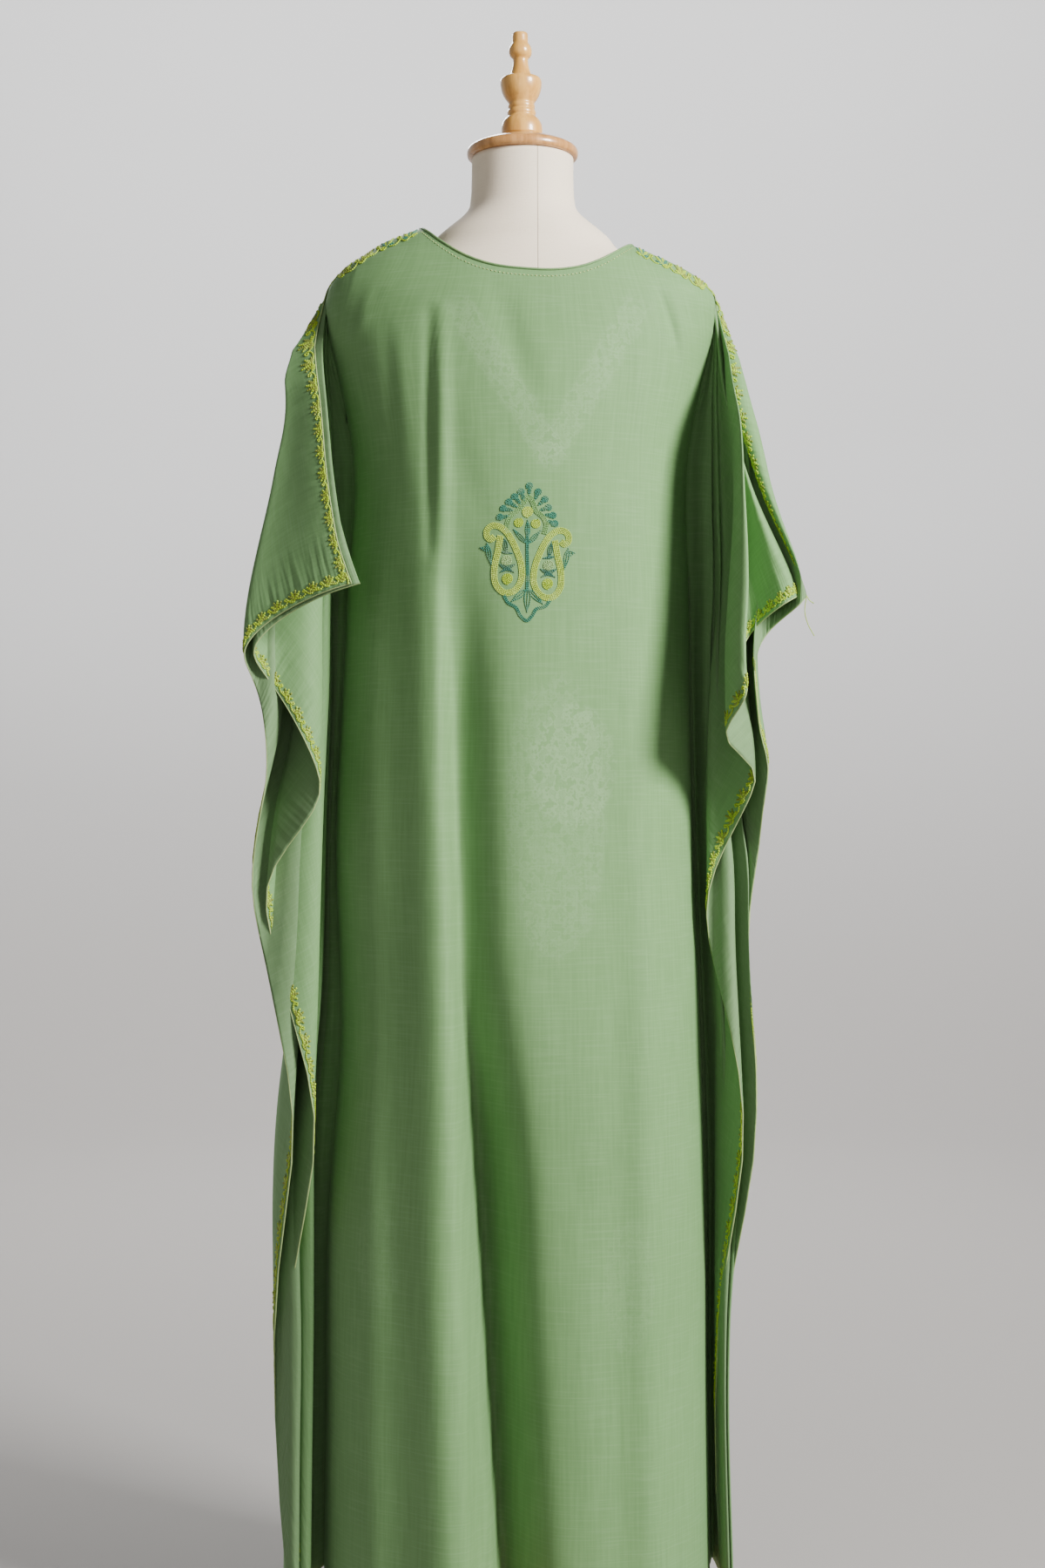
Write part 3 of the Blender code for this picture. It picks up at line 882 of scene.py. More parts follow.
@dataclass(frozen=True)
class CrepeFinish:
    """Sage crepe: fine grain, faint upright yarn streaks and a soft sheen."""
    name: str
    base: Colour = (0.165, 0.318, 0.124, 1.0)
    dark: Colour = (0.100, 0.210, 0.072, 1.0)
    pale: Colour = (0.300, 0.455, 0.255, 1.0)
    shows_through: bool = False
    neck_ghost: tuple = ((-0.0625, 1.431, 0.0286, 1.279), (0.1160, 1.431, 0.0286, 1.279))
    spray_ghost: tuple = (
        (0.034, 0.905, 0.058, 0.165, 0.8), (0.052, 0.960, 0.050, 0.070, 0.8),
        (-0.150, 0.450, 0.026, 0.060, 0.4), (0.110, 0.420, 0.030, 0.080, 0.4),
    )

    def ghosts(self, recipe: Recipe) -> Wire:
        """Where the front's stitching shows faintly through the back.

        Args:
            recipe: The crepe's recipe.

        Returns:
            How strongly they show, 0 to 1.
        """
        spot = recipe.spot()
        x = recipe.axis(spot, "X")
        z = recipe.axis(spot, "Z")
        warp = recipe.yarn("object", (1.0, 0.0, 1.0), 90.0, 2.0, 0.7)
        rags = (warp - 0.5).size().step(0.075, 0.015) + warp.step(0.54, 0.62) * 0.6
        edge = recipe.yarn("object", (1.0, 0.0, 1.0), 60.0, 1.0)
        whole = None
        for x_top, z_top, x_foot, z_foot in self.neck_ghost:
            length = math.hypot(x_foot - x_top, z_foot - z_top)
            run, drop = (x_foot - x_top) / length, (z_foot - z_top) / length
            across = (x - x_top) * drop - (z - z_top) * run
            along = (x - x_top) * run + (z - z_top) * drop
            band = (across.size() + edge * 0.010).step(0.024, 0.016)
            band = band * along.step(-0.030, 0.010) * along.step(length + 0.020, length - 0.005)
            whole = band if whole is None else whole + band
        for x_mid, z_mid, wide, tall, strength in self.spray_ghost:
            far = ((x - x_mid) * (1 / wide)) ** 2.0 + ((z - z_mid) * (1 / tall)) ** 2.0
            whole = whole + (far + edge * 0.6).step(1.25, 0.95) * strength
        return whole * (rags * 0.85 + 0.15)

    def make(self) -> bpy.types.Material:
        """Make the material.

        Returns:
            The material.
        """
        recipe = Recipe(self.name)
        flat = recipe.place("flat", (1.0, 1.0, 1.0))
        streaks = recipe.yarn("flat", (1.0, 0.035, 1.0), 420.0, 2.0)
        cross = recipe.yarn("flat", (0.05, 1.0, 1.0), 500.0, 1.0)
        clouds = recipe.noise(flat, 5.0, 3.0)
        grain = recipe.noise(flat, 1500.0, 1.0)
        colour = recipe.mix((streaks.step(0.30, 0.70)) * 0.26, self.base, self.dark)
        colour = recipe.mix(cross.step(0.45, 0.75) * 0.14, colour, self.pale)
        colour = recipe.mix(clouds.step(0.35, 0.75) * 0.16, colour, self.dark)
        if self.shows_through:
            colour = recipe.mix(self.ghosts(recipe) * 0.26, colour, self.pale)
        folds = recipe.yarn("flat", (1.0, 0.30, 1.0), 16.0, 2.0)
        rumple = recipe.yarn("flat", (1.0, 0.6, 1.0), 70.0, 2.0)
        normal = recipe.bump(folds, 0.30, 0.006)
        normal = recipe.bump(rumple, 0.22, 0.0012, normal)
        out = recipe.axis(flat, "X").size()
        down = recipe.axis(flat, "Y")
        by_edge = recipe.yarn("flat", (0.12, 1.0, 1.0), 95.0, 1.0) * out.step(0.500, 0.575)
        by_seam = recipe.yarn("flat", (1.0, 0.14, 1.0), 95.0, 1.0) * down.step(0.145, 0.075)
        normal = recipe.bump(by_edge + by_seam * out.step(0.17, 0.24), 0.55, 0.0040, normal)
        normal = recipe.bump(streaks + cross * 0.6 + grain * 0.6, 0.25, 0.00025, normal)
        rough = 0.62 + streaks * 0.12
        return recipe.finish({
            "Base Color": colour, "Roughness": rough, "Normal": normal, "Sheen Weight": 0.12,
            "Sheen Roughness": 0.45, "Sheen Tint": (0.65, 0.95, 0.55, 1.0),
            "Specular IOR Level": 0.22,
        })


@dataclass(frozen=True)
class LinenFinish:
    """Cream linen over the form, with its centre-back seam."""
    base: Colour = (0.930, 0.810, 0.650, 1.0)
    shade: Colour = (0.800, 0.650, 0.470, 1.0)
    seam_x: float = 0.0156

    def make(self) -> bpy.types.Material:
        """Make the material.

        Returns:
            The material.
        """
        recipe = Recipe("cream_linen")
        spot = recipe.spot()
        x = recipe.axis(spot, "X")
        y = recipe.axis(spot, "Y")
        warp = recipe.yarn("object", (1.0, 1.0, 0.05), 900.0, 1.0)
        weft = recipe.yarn("object", (0.08, 0.08, 1.0), 900.0, 1.0)
        clouds = recipe.yarn("object", (1.0, 1.0, 1.0), 12.0, 3.0)
        seam = (x - self.seam_x).size().step(0.0011, 0.0003) * y.step(0.005, -0.005)
        colour = recipe.mix(clouds.step(0.35, 0.80) * 0.22, self.base, self.shade)
        colour = recipe.mix(warp.step(0.4, 0.7) * weft.step(0.4, 0.7) * 0.28, colour, self.shade)
        colour = recipe.mix(seam * 0.45, colour, (0.42, 0.34, 0.26, 1.0))
        normal = recipe.bump(warp + weft, 0.35, 0.0003)
        normal = recipe.bump(1 - seam, 0.6, 0.0008, normal)
        return recipe.finish({
            "Base Color": colour, "Roughness": 0.80 + warp * 0.1, "Normal": normal,
            "Sheen Weight": 0.10,
        })


@dataclass(frozen=True)
class LacqueredWood:
    """Turned hardwood under clear lacquer, with lathe lines and upright grain."""
    name: str
    light: Colour
    deep: Colour

    def make(self) -> bpy.types.Material:
        """Make the material.

        Returns:
            The material.
        """
        recipe = Recipe(self.name)
        grain = recipe.yarn("object", (1.0, 1.0, 0.10), 160.0, 4.0, 0.6)
        rings = recipe.yarn("object", (0.02, 0.02, 1.0), 700.0, 1.0)
        pores = recipe.yarn("object", (1.0, 1.0, 0.06), 900.0, 1.0)
        spot = recipe.spot()
        worn = recipe.noise(spot, 30.0, 2.0)
        colour = recipe.mix(grain.step(0.35, 0.68) * 0.75, self.light, self.deep)
        colour = recipe.mix(pores.step(0.62, 0.75) * 0.35, colour, self.deep)
        normal = recipe.bump(rings + grain * 0.5, 0.18, 0.0003)
        return recipe.finish({
            "Base Color": colour, "Roughness": 0.26 + worn * 0.14, "Normal": normal,
            "Coat Weight": 0.50, "Coat Roughness": 0.10,
        })


@dataclass(frozen=True)
class BrushedTube:
    """Dark steel tube, brushed round."""
    base: Colour = (0.230, 0.225, 0.220, 1.0)

    def make(self) -> bpy.types.Material:
        """Make the material.

        Returns:
            The material.
        """
        recipe = Recipe("brushed_tube")
        lines = recipe.yarn("object", (0.05, 0.05, 1.0), 1400.0, 2.0)
        marks = recipe.yarn("object", (1.0, 1.0, 1.0), 25.0, 3.0)
        colour = recipe.mix(marks.step(0.4, 0.7) * 0.35, self.base, (0.12, 0.115, 0.11, 1.0))
        return recipe.finish({
            "Base Color": colour, "Metallic": 0.9, "Roughness": 0.30 + lines * 0.18,
            "Normal": recipe.bump(lines, 0.15, 0.0002),
        })


@dataclass(frozen=True)
class ThreadFinish:
    """Lustrous stitching thread, each stroke in its own tint."""
    name: str = "chain_stitch_thread"

    def make(self) -> bpy.types.Material:
        """Make the material.

        Returns:
            The material.
        """
        recipe = Recipe(self.name)
        tint = recipe.add("ShaderNodeAttribute", {"attribute_name": "tint"}, output="Color")
        spot = recipe.spot()
        twist = recipe.noise(spot, 1300.0, 1.0)
        patches = recipe.noise(spot, 90.0, 1.0)
        colour = recipe.mix(twist.step(0.35, 0.65) * 0.30, tint, (0.05, 0.08, 0.02, 1.0))
        colour = recipe.mix(patches.step(0.45, 0.70) * 0.10, colour, (0.75, 0.90, 0.30, 1.0))
        return recipe.finish({
            "Base Color": colour, "Roughness": 0.45 + twist * 0.2, "Sheen Weight": 0.05,
            "Normal": recipe.bump(twist, 0.3, 0.0004),
        })


@dataclass(frozen=True)
class StudioGround:
    """Pale matt paper under and behind the form, with painted shade that darkens it towards the floor."""
    base: Colour = (0.600, 0.600, 0.605, 1.0)
    # The darker colour: painted shade towards the floor, and also the paper's faint mottle.
    low: Colour = (0.320, 0.305, 0.295, 1.0)

    def make(self) -> bpy.types.Material:
        """Make the material.

        Returns:
            The material.
        """
        recipe = Recipe("studio_paper")
        spot = recipe.spot()
        high = recipe.axis(spot, "Z")
        clouds = recipe.noise(spot, 0.8, 2.0)
        tooth = recipe.noise(spot, 600.0, 1.0)
        # Painted shade: the paper darkens from the top down to the floor.
        colour = recipe.mix(high.step(-0.1, 2.2), self.low, self.base)
        colour = recipe.mix(clouds.step(0.3, 0.8) * 0.08, colour, self.low)
        normal = recipe.bump(tooth, 0.05, 0.0002)
        return recipe.finish({"Base Color": colour, "Roughness": 0.9, "Normal": normal})


@dataclass
class Turned:
    """A turned piece: a profile spun round an upright axis."""
    name: str
    profile: tuple[tuple[float, float], ...]
    foot: float
    steps: int = 96
    rounds: int = 1
    lean: float = 0.0

    def outline(self) -> list[tuple[float, float]]:
        """The profile with its corners cut, from the axis at the top to the axis at the foot.

        Returns:
            Radius and height of each point.
        """
        points = list(self.profile)
        near, far = 0.75, 0.25
        for _ in range(self.rounds):
            cut = [points[0]]
            for (r0, h0), (r1, h1) in zip(points, points[1:]):
                cut.append((near * r0 + far * r1, near * h0 + far * h1))
                cut.append((far * r0 + near * r1, far * h0 + near * h1))
            points = cut + [points[-1]]
        return points

    def build(self, finish: bpy.types.Material) -> bpy.types.Object:
        """Spin the profile and dress it.

        Args:
            finish: Its material.

        Returns:
            The piece.
        """
        turns = [2 * math.pi * step / self.steps for step in range(self.steps)]
        rings = [
            [(radius * math.cos(turn) - self.lean * height, radius * math.sin(turn), self.foot + height)
             for turn in turns]
            for radius, height in self.outline()
        ]
        return loft(self.name, rings, finish)


class Ring(NamedTuple):
    """The form's outline at one height."""
    z: float
    half: float
    back: float
    front: float


@dataclass
class DressForm:
    """The limbless form, its cap and finial, its pole and its round base."""
    rings: tuple[Ring, ...] = tuple(Ring(*row) for row in (
        (1.614, 0.0548, 0.0548, 0.0548), (1.59, 0.055, 0.055, 0.055), (1.57, 0.056, 0.056, 0.055),
        (1.557, 0.059, 0.058, 0.055), (1.548, 0.067, 0.061, 0.057), (1.538, 0.08, 0.064, 0.057),
        (1.529, 0.091, 0.0665, 0.058), (1.513, 0.1045, 0.0695, 0.054), (1.502, 0.118, 0.075, 0.0562),
        (1.492, 0.141, 0.08, 0.0607), (1.48, 0.169, 0.0855, 0.07), (1.464, 0.184, 0.0905, 0.081),
        (1.44, 0.189, 0.094, 0.09), (1.4, 0.183, 0.1, 0.1), (1.35, 0.172, 0.104, 0.114),
        (1.29, 0.162, 0.103, 0.122), (1.2, 0.148, 0.093, 0.106), (1.1, 0.134, 0.081, 0.086),
        (1.0, 0.148, 0.086, 0.091), (0.9, 0.164, 0.093, 0.097), (0.82, 0.166, 0.093, 0.097),
        (0.76, 0.159, 0.089, 0.093),
    ))
    sides: int = 144
    rows: int = 190
    cap_foot: float = 1.6143
    cap: tuple[tuple[float, float], ...] = (
        (0.0235, 0.0235), (0.0300, 0.0215), (0.0450, 0.0165), (0.0555, 0.0120), (0.0588, 0.0098),
        (0.0600, 0.0070), (0.0600, 0.0030), (0.0582, 0.0000), (0.0400, 0.0000),
    )
    finial: tuple[tuple[float, float], ...] = (
        (0.0078, 0.1356), (0.0085, 0.1344), (0.0085, 0.1248), (0.0100, 0.1232), (0.0122, 0.1192),
        (0.0125, 0.1155), (0.0116, 0.1110), (0.0084, 0.1082), (0.0080, 0.1060), (0.0088, 0.0985),
        (0.0122, 0.0882), (0.0180, 0.0876), (0.0218, 0.0858), (0.0225, 0.0815), (0.0216, 0.0740),
        (0.0186, 0.0665), (0.0136, 0.0598), (0.0145, 0.0576), (0.0145, 0.0548), (0.0135, 0.0532),
        (0.0154, 0.0512), (0.0154, 0.0478), (0.0142, 0.0460), (0.0196, 0.0415), (0.0223, 0.0345),
        (0.0222, 0.0238),
    )
    base: tuple[tuple[float, float], ...] = (
        (0.0180, 0.0480), (0.0230, 0.0470), (0.0260, 0.0360), (0.0500, 0.0310), (0.1500, 0.0270),
        (0.1880, 0.0240), (0.1970, 0.0200), (0.2000, 0.0140), (0.2000, 0.0040), (0.1980, 0.0000),
    )
    pole_radius: float = 0.0125
    pole_foot: float = 0.0483
    pole_top: float = 0.7595
    lean: float = 0.020

    def torso(self, finish: bpy.types.Material) -> bpy.types.Object:
        """Loft the padded torso and neck through its rings.

        Args:
            finish: The linen.

        Returns:
            The piece.
        """
        rows = self.rings[::-1]
        places = [ring.z for ring in rows]
        heights = np.linspace(places[-1], places[0], self.rows)
        half, back, front = (
            flow(places, [getattr(ring, column) for ring in rows], heights)
            for column in ("half", "back", "front")
        )
        turn = 2 * math.pi * np.arange(self.sides) / self.sides
        rings = []
        for level, wide, rear, fore in zip(heights, half, back, front):
            depth = np.where(np.sin(turn) > 0, fore, rear)
            rings.append([
                (wide * math.cos(angle), float(deep) * math.sin(angle), level)
                for angle, deep in zip(turn, depth)
            ])
        return loft("torso_cover", rings, finish)

    def build(self) -> None:
        """Build and dress every piece of the form."""
        honey = LacqueredWood("honey_wood", (0.820, 0.450, 0.110, 1.0), (0.580, 0.270, 0.045, 1.0)).make()
        cap = Turned("turned_cap", self.cap, self.cap_foot)
        finial = Turned("turned_finial", self.finial, self.cap_foot, lean=self.lean)
        brown = LacqueredWood("brown_wood", (0.640, 0.320, 0.110, 1.0), (0.380, 0.160, 0.035, 1.0)).make()
        linen = LinenFinish().make()
        tube = BrushedTube().make()
        pole = ((self.pole_radius, self.pole_top - self.pole_foot), (self.pole_radius, 0.0))
        steel = Turned("steel_pole", pole, self.pole_foot, steps=64, rounds=0)
        board = Turned("round_base", self.base, 0.0, steps=144)
        pieces = (
            (self.torso(linen), "form_torso", "linen"),
            (cap.build(brown), "neck_cap", "cap_wood"),
            (finial.build(honey), "finial", "finial_wood"),
            (steel.build(tube), "stand_pole", "pole_metal"),
            (board.build(brown), "stand_base", "cap_wood"),
        )
        for piece, node, slot in pieces:
            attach(piece, BODY)
            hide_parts(node)
            LOG.info("%s stands for %s", piece.name, node)


class Lamp(NamedTuple):
    """A soft square light: its place, what it is aimed at, its side, power and colour."""
    name: str
    at: tuple[float, float, float]
    aim: tuple[float, float, float]
    size: float
    power: float
    colour: tuple[float, float, float]


@dataclass
class Studio:
    """The pale ground, the soft lights and the camera at the photograph's place."""
    camera_at: tuple[float, float, float] = (0.0, -2.397, 0.94)
    lens: float = 51.0
    radius: float = 5.8
    cove: float = 2.2
    height: float = 6.0
    sides: int = 96
    bends: int = 20
    air: Colour = (1.0, 0.985, 0.96, 1.0)
    air_strength: float = 0.12
    lamps: tuple[Lamp, ...] = (
        Lamp("key", (2.30, -1.80, 2.50), (0.0, 0.0, 1.25), 0.8, 275.0, (1.0, 0.985, 0.95)),
        Lamp("fill", (-0.4, -3.3, 1.5), (0.0, 0.0, 1.1), 1.6, 8.0, (1.0, 0.98, 0.95)),
        Lamp("wall", (0.0, 2.2, 4.4), (0.0, 5.8, 2.0), 3.0, 330.0, (1.0, 1.0, 1.0)),
        Lamp("far", (-0.8, 3.4, 3.5), (0.0, 0.0, 1.0), 1.2, 85.0, (1.0, 1.0, 1.0)),
    )

    def ground(self) -> None:
        """Sweep a round floor up into a wall that stands all round, clear of every view."""
        turns = [math.pi / 2 * step / self.bends for step in range(self.bends + 1)]
        middle = self.radius - self.cove
        line = [(0.5, 0.0), (1.5, 0.0), (2.5, 0.0)]
        line += [(middle + self.cove * math.sin(t), self.cove * (1 - math.cos(t))) for t in turns]
        line.append((self.radius, self.height))
        round_about = [2 * math.pi * step / self.sides for step in range(self.sides)]
        points = [(reach * math.cos(t), reach * math.sin(t), z) for reach, z in line for t in round_about]
        faces: list[tuple[int, ...]] = [tuple(range(self.sides))]
        for ring in range(len(line) - 1):
            for step in range(self.sides):
                near, after = ring * self.sides, (step + 1) % self.sides
                far = near + self.sides
                faces.append((near + step, far + step, far + after, near + after))
        mesh = bpy.data.meshes.new("studio_ground")
        mesh.from_pydata(points, [], faces)
        mesh.shade_smooth()
        mesh.materials.append(StudioGround().make())
        link_object("studio_ground", mesh)

    def hang(self, lamp: Lamp) -> None:
        """Hang one light.

        Args:
            lamp: Its place and strength.
        """
        light = bpy.data.lights.new(lamp.name, "AREA")
        light.shape = "SQUARE"
        light.size = lamp.size
        light.energy = lamp.power
        light.color = lamp.colour
        thing = link_object(lamp.name, light)
        thing.location = lamp.at
        thing.rotation_mode = "QUATERNION"
        thing.rotation_quaternion = (Vector(lamp.aim) - Vector(lamp.at)).to_track_quat("-Z", "Y")

    def build(self) -> None:
        """Set up the ground, lights, surrounding light and camera."""
        self.ground()
        for lamp in self.lamps:
            self.hang(lamp)
        world = bpy.data.worlds.new("studio_air")
        world.use_nodes = True
        air = world.node_tree.nodes["Background"]
        air.inputs["Color"].default_value = self.air
        air.inputs["Strength"].default_value = self.air_strength
        bpy.context.scene.world = world
        camera = bpy.data.cameras.new("camera")
        camera.lens = self.lens
        thing = link_object("camera", camera)
        thing.location = self.camera_at
        thing.rotation_euler = (math.pi / 2, 0.0, 0.0)
        bpy.context.scene.camera = thing


class Thread(Enum):
    """The tints of the stitching, as linear colours."""
    LIME = (0.390, 0.570, 0.012, 1.0)
    OLIVE = (0.215, 0.270, 0.018, 1.0)
    STRAW = (0.620, 0.700, 0.260, 1.0)
    PALE = (0.480, 0.660, 0.070, 1.0)
    MINT = (0.300, 0.500, 0.190, 1.0)
    LEAF = (0.200, 0.420, 0.130, 1.0)
    TEAL = (0.020, 0.190, 0.120, 1.0)
    DEEP = (0.014, 0.120, 0.085, 1.0)
    PIPING = (0.360, 0.480, 0.190, 1.0)
    SAGE = (0.165, 0.318, 0.124, 1.0)


Stroke = tuple[np.ndarray, Thread]


def curve_through(points: Sequence[tuple[float, float]], steps: int = 10) -> np.ndarray:
    """A smooth flat curve through some points.

    Args:
        points: The points, in order.
        steps: How many pieces each stretch is cut into.

    Returns:
        The curve's points.
    """
    known = np.asarray(points, dtype=float)
    wanted = np.linspace(0, len(known) - 1, (len(known) - 1) * steps + 1)
    places = np.arange(len(known))
    return np.stack([flow(places, known[:, axis], wanted) for axis in (0, 1)], axis=1)


def rows_of(line: np.ndarray, count: int, apart: float, thread: Thread) -> list[Stroke]:
    """Lay several rows of stitches side by side along a flat line.

    Args:
        line: The middle line.
        count: How many rows.
        apart: From row to row.
        thread: Their thread.

    Returns:
        The strokes, each as points and a thread.
    """
    run = np.gradient(line, axis=0)
    run = run / np.maximum(np.linalg.norm(run, axis=1, keepdims=True), 1e-9)
    across = np.stack((-run[:, 1], run[:, 0]), axis=1)
    offsets = (np.arange(count) - (count - 1) / 2) * apart
    return [(line + across * offset, thread) for offset in offsets]


def spiral(centre: tuple[float, float], radius: float, apart: float, thread: Thread) -> Stroke:
    """Fill a round spot with one spiral of stitches.

    Args:
        centre: The spot's middle.
        radius: Its radius.
        apart: From turn to turn.
        thread: Its thread.

    Returns:
        The stroke.
    """
    turns = radius / apart
    part = np.linspace(0.0, 1.0, max(14, int(turns * 14)))
    angle = part * turns * 2 * math.pi
    reach = part * (radius - apart / 2)
    return np.stack((centre[0] + reach * np.cos(angle), centre[1] + reach * np.sin(angle)), axis=1), thread


def leaf(base: tuple[float, float], tip: tuple[float, float], plump: float, thread: Thread) -> list[Stroke]:
    """A leaf of two bowed rows and a middle one, from its base to its tip.

    Args:
        base: Where it starts.
        tip: Where it ends.
        plump: How far its sides bow.
        thread: Its thread.

    Returns:
        The strokes, each as points and a thread.
    """
    start, end = np.asarray(base, dtype=float), np.asarray(tip, dtype=float)
    part = np.linspace(0.0, 1.0, 9)[:, None]
    line = start + (end - start) * part
    run = (end - start) / max(float(np.linalg.norm(end - start)), 1e-9)
    across = np.array((-run[1], run[0]))
    bow = np.sin(math.pi * part ** 0.8) * plump
    return [(line + across * bow * way, thread) for way in (-1.0, 0.0, 1.0)]


@dataclass(frozen=True)
class BorderSprig:
    """The border's repeat, in millimetres along the edge and inwards from it."""
    repeat: float = 27.0
    inset: float = 4.5
    petal: float = 9.6

    def strokes(self, number: int) -> list[Stroke]:
        """One fan flower and the scroll that leads to the next.

        Args:
            number: Which repeat it is, as the threads change about.

        Returns:
            The strokes, each as points and a thread.
        """
        base = np.array((9.0, self.inset + 1.0))
        made: list[Stroke] = []
        for place, angle in enumerate((-82, -50, -18, 16, 48, 80)):
            turn = math.radians(angle)
            long = self.petal * (1.0 if abs(angle) < 60 else 0.82)
            tip = base + long * np.array((math.sin(turn), math.cos(turn)))
            across = np.array((math.cos(turn), -math.sin(turn))) * 0.55
            thread = Thread.OLIVE if (place + number) % 2 else Thread.LIME
            root = base + 1.2 * np.array((math.sin(turn), math.cos(turn)))
            for way in (-1.9, 0.0, 1.9):
                made.append((np.array((root, (root + tip) / 2 + across * way, tip)), thread))
        wave = ((9.0, 7.0), (11.5, 5.6), (15.0, 6.2), (18.0, 8.6), (20.4, 12.2), (22.6, 12.8), (23.0, 10.6),
                (21.6, 10.2))
        made.append((curve_through([(p, q - 6 + self.inset) for p, q in wave], 4), Thread.LIME))
        link = ((19.0, 9.4), (21.5, 7.0), (25.0, 5.8), (29.0, 6.2), (34.0, 7.4))
        made.append((curve_through([(p, q - 6 + self.inset) for p, q in link], 4), Thread.LIME))
        return made


@dataclass(frozen=True)
class BackPaisley:
    """The back's pair of paisleys under an arch, drawn in millimetres from its middle."""
    middle: tuple[float, float] = (0.0054, 1.1790)
    right_drop: float = 5.0
    row: float = 1.35

    def paisley(self, way: int) -> list[Stroke]:
        """One paisley with its curled tip; way is -1 for the left one.

        Args:
            way: Which side it stands on.

        Returns:
            The strokes, each as points and a thread.
        """
        outline = (
            (34.5, 14.5), (37.5, 12.0), (41.5, 15.0), (41.5, 21.5), (36.0, 26.0), (28.0, 24.5), (20.0, 17.0),
            (12.5, 3.0), (7.0, -13.0), (6.5, -29.0), (13.5, -40.5), (24.5, -42.5), (33.0, -33.0),
            (34.0, -17.0), (30.5, 0.0), (28.0, 15.0),
        )
        drop = self.right_drop if way > 0 else 0.0

        def put(points: Sequence[tuple[float, float]]) -> list[tuple[float, float]]:
            """Mirror and lower some points."""
            return [(way * x, y - drop) for x, y in points]

        made = rows_of(curve_through(put(outline), 8), 5, self.row, Thread.PALE)
        made.append(spiral(put([(21.5, -10.0)])[0], 6.2, self.row, Thread.MINT))
        made.append(spiral(put([(20.5, -28.5)])[0], 6.4, self.row, Thread.LIME))
        for base, tip, plump in (((24.0, 12.0), (21.5, -2.0), 2.2), ((26.5, -1.0), (16.5, -2.5), 1.0),
                                 ((13.5, -14.0), (27.5, -21.5), 1.5), ((28.5, -14.0), (14.5, -21.5), 1.5)):
            made += leaf(put([base])[0], put([tip])[0], plump, Thread.DEEP)
        side = ((41.5, 7.5), (37.5, -13.0)), ((38.5, 2.0), (48.0, 3.5))
        for base, tip in side:
            made += leaf(put([base])[0], put([tip])[0], 2.4, Thread.TEAL)
        return made

    def strokes(self) -> list[Stroke]:
        """The whole motif.

        Returns:
            The strokes, each as points and a thread.
        """
        made = self.paisley(-1) + self.paisley(1)
        arch = (
            (-20.0, 19.0), (-21.0, 27.0), (-17.0, 36.0), (-9.5, 42.0), (-4.5, 49.0), (1.0, 55.5),
            (5.5, 49.0), (8.5, 41.0), (15.5, 35.0), (19.0, 27.0), (17.0, 18.0),
        )
        made += rows_of(curve_through(arch, 8), 4, self.row, Thread.LEAF)
        made.append(spiral((0.0, 40.0), 6.4, self.row, Thread.PALE))
        made.append(spiral((-9.5, 29.0), 5.6, self.row, Thread.LIME))
        made.append(spiral((8.0, 28.0), 5.6, self.row, Thread.LIME))
        crown = ((-28.0, 34.5), (-24.5, 43.5), (-19.0, 50.0), (-13.0, 55.5), (-6.5, 60.5), (2.0, 66.5),
                 (11.0, 60.5), (18.0, 53.0), (21.5, 44.5), (26.0, 36.5), (28.0, 28.0))
        for x, y in crown:
            toward = np.array((0.5, 38.0)) - np.array((x, y))
            toward = toward / np.linalg.norm(toward)
            made.append(spiral((x, y), 4.3, 1.2, Thread.TEAL))
            root, tip = ((x + toward[0] * far, y + toward[1] * far) for far in (2.5, 9))
            made += leaf(root, tip, 1.6, Thread.TEAL)
        stem = ((0.0, 22.0), (-0.5, 0.0), (0.0, -20.0), (-0.5, -40.0))
        made += rows_of(curve_through(stem, 8), 3, 1.2, Thread.TEAL)
        for base, tip, plump in (
            ((-1.5, 8.0), (-14.0, 21.5), 2.0), ((1.5, 8.0), (13.0, 20.5), 2.0),
            ((0.0, 14.0), (0.0, 31.0), 2.2), ((0.0, -38.0), (-0.8, -62.0), 3.0),
            ((-1.5, -40.0), (-16.0, -51.5), 2.6), ((1.5, -40.0), (15.0, -54.0), 2.6),
        ):
            made += leaf(base, tip, plump, Thread.TEAL)
        scallop = ((-24.0, -46.0), (-20.0, -53.0), (-12.0, -58.0), (-7.5, -66.5), (-1.0, -71.5), (4.5, -66.5),
                   (9.0, -59.5), (17.5, -57.0), (22.5, -51.0))
        return made + rows_of(curve_through(scallop, 8), 3, 1.2, Thread.TEAL)


@dataclass(frozen=True)
class FrontSpray:
    """The front's tall spray of stems, leaves and round flowers, in millimetres from its middle."""
    middle: tuple[float, float] = (0.036, 0.905)
    tall: float = 320.0

    def strokes(self) -> list[Stroke]:
        """A plain symmetric spray; the photograph shows only its shadow through the back.

        Returns:
            The strokes, each as points and a thread.
        """
        half = self.tall / 2
        middle = ((0.0, half), (3.0, 60.0), (-3.0, -20.0), (0.0, -half))
        made = rows_of(curve_through(middle, 12), 3, 1.3, Thread.TEAL)
        for number, height in enumerate(range(int(half) - 24, -int(half) + 10, -26)):
            reach = 12.0 + 34.0 * math.sin(math.pi * (number + 0.5) / 12.5)
            for way in (-1, 1):
                stem = ((0.0, height - 8), (way * reach * 0.5, height), (way * reach, height + 3))
                made.append((curve_through(stem, 5), Thread.TEAL))
                thread = (Thread.LIME, Thread.PALE, Thread.MINT)[number % 3]
                made.append(spiral((way * (reach + 3), height + 4), 6.5, 1.4, thread))
                out = way * reach
                made += leaf((out * 0.4, height - 2), (out * 0.6, height + 12), 2.4, Thread.TEAL)
                made += leaf((out * 0.5, height - 3), (out * 0.8, height - 13), 2.2, Thread.LIME)
        return made


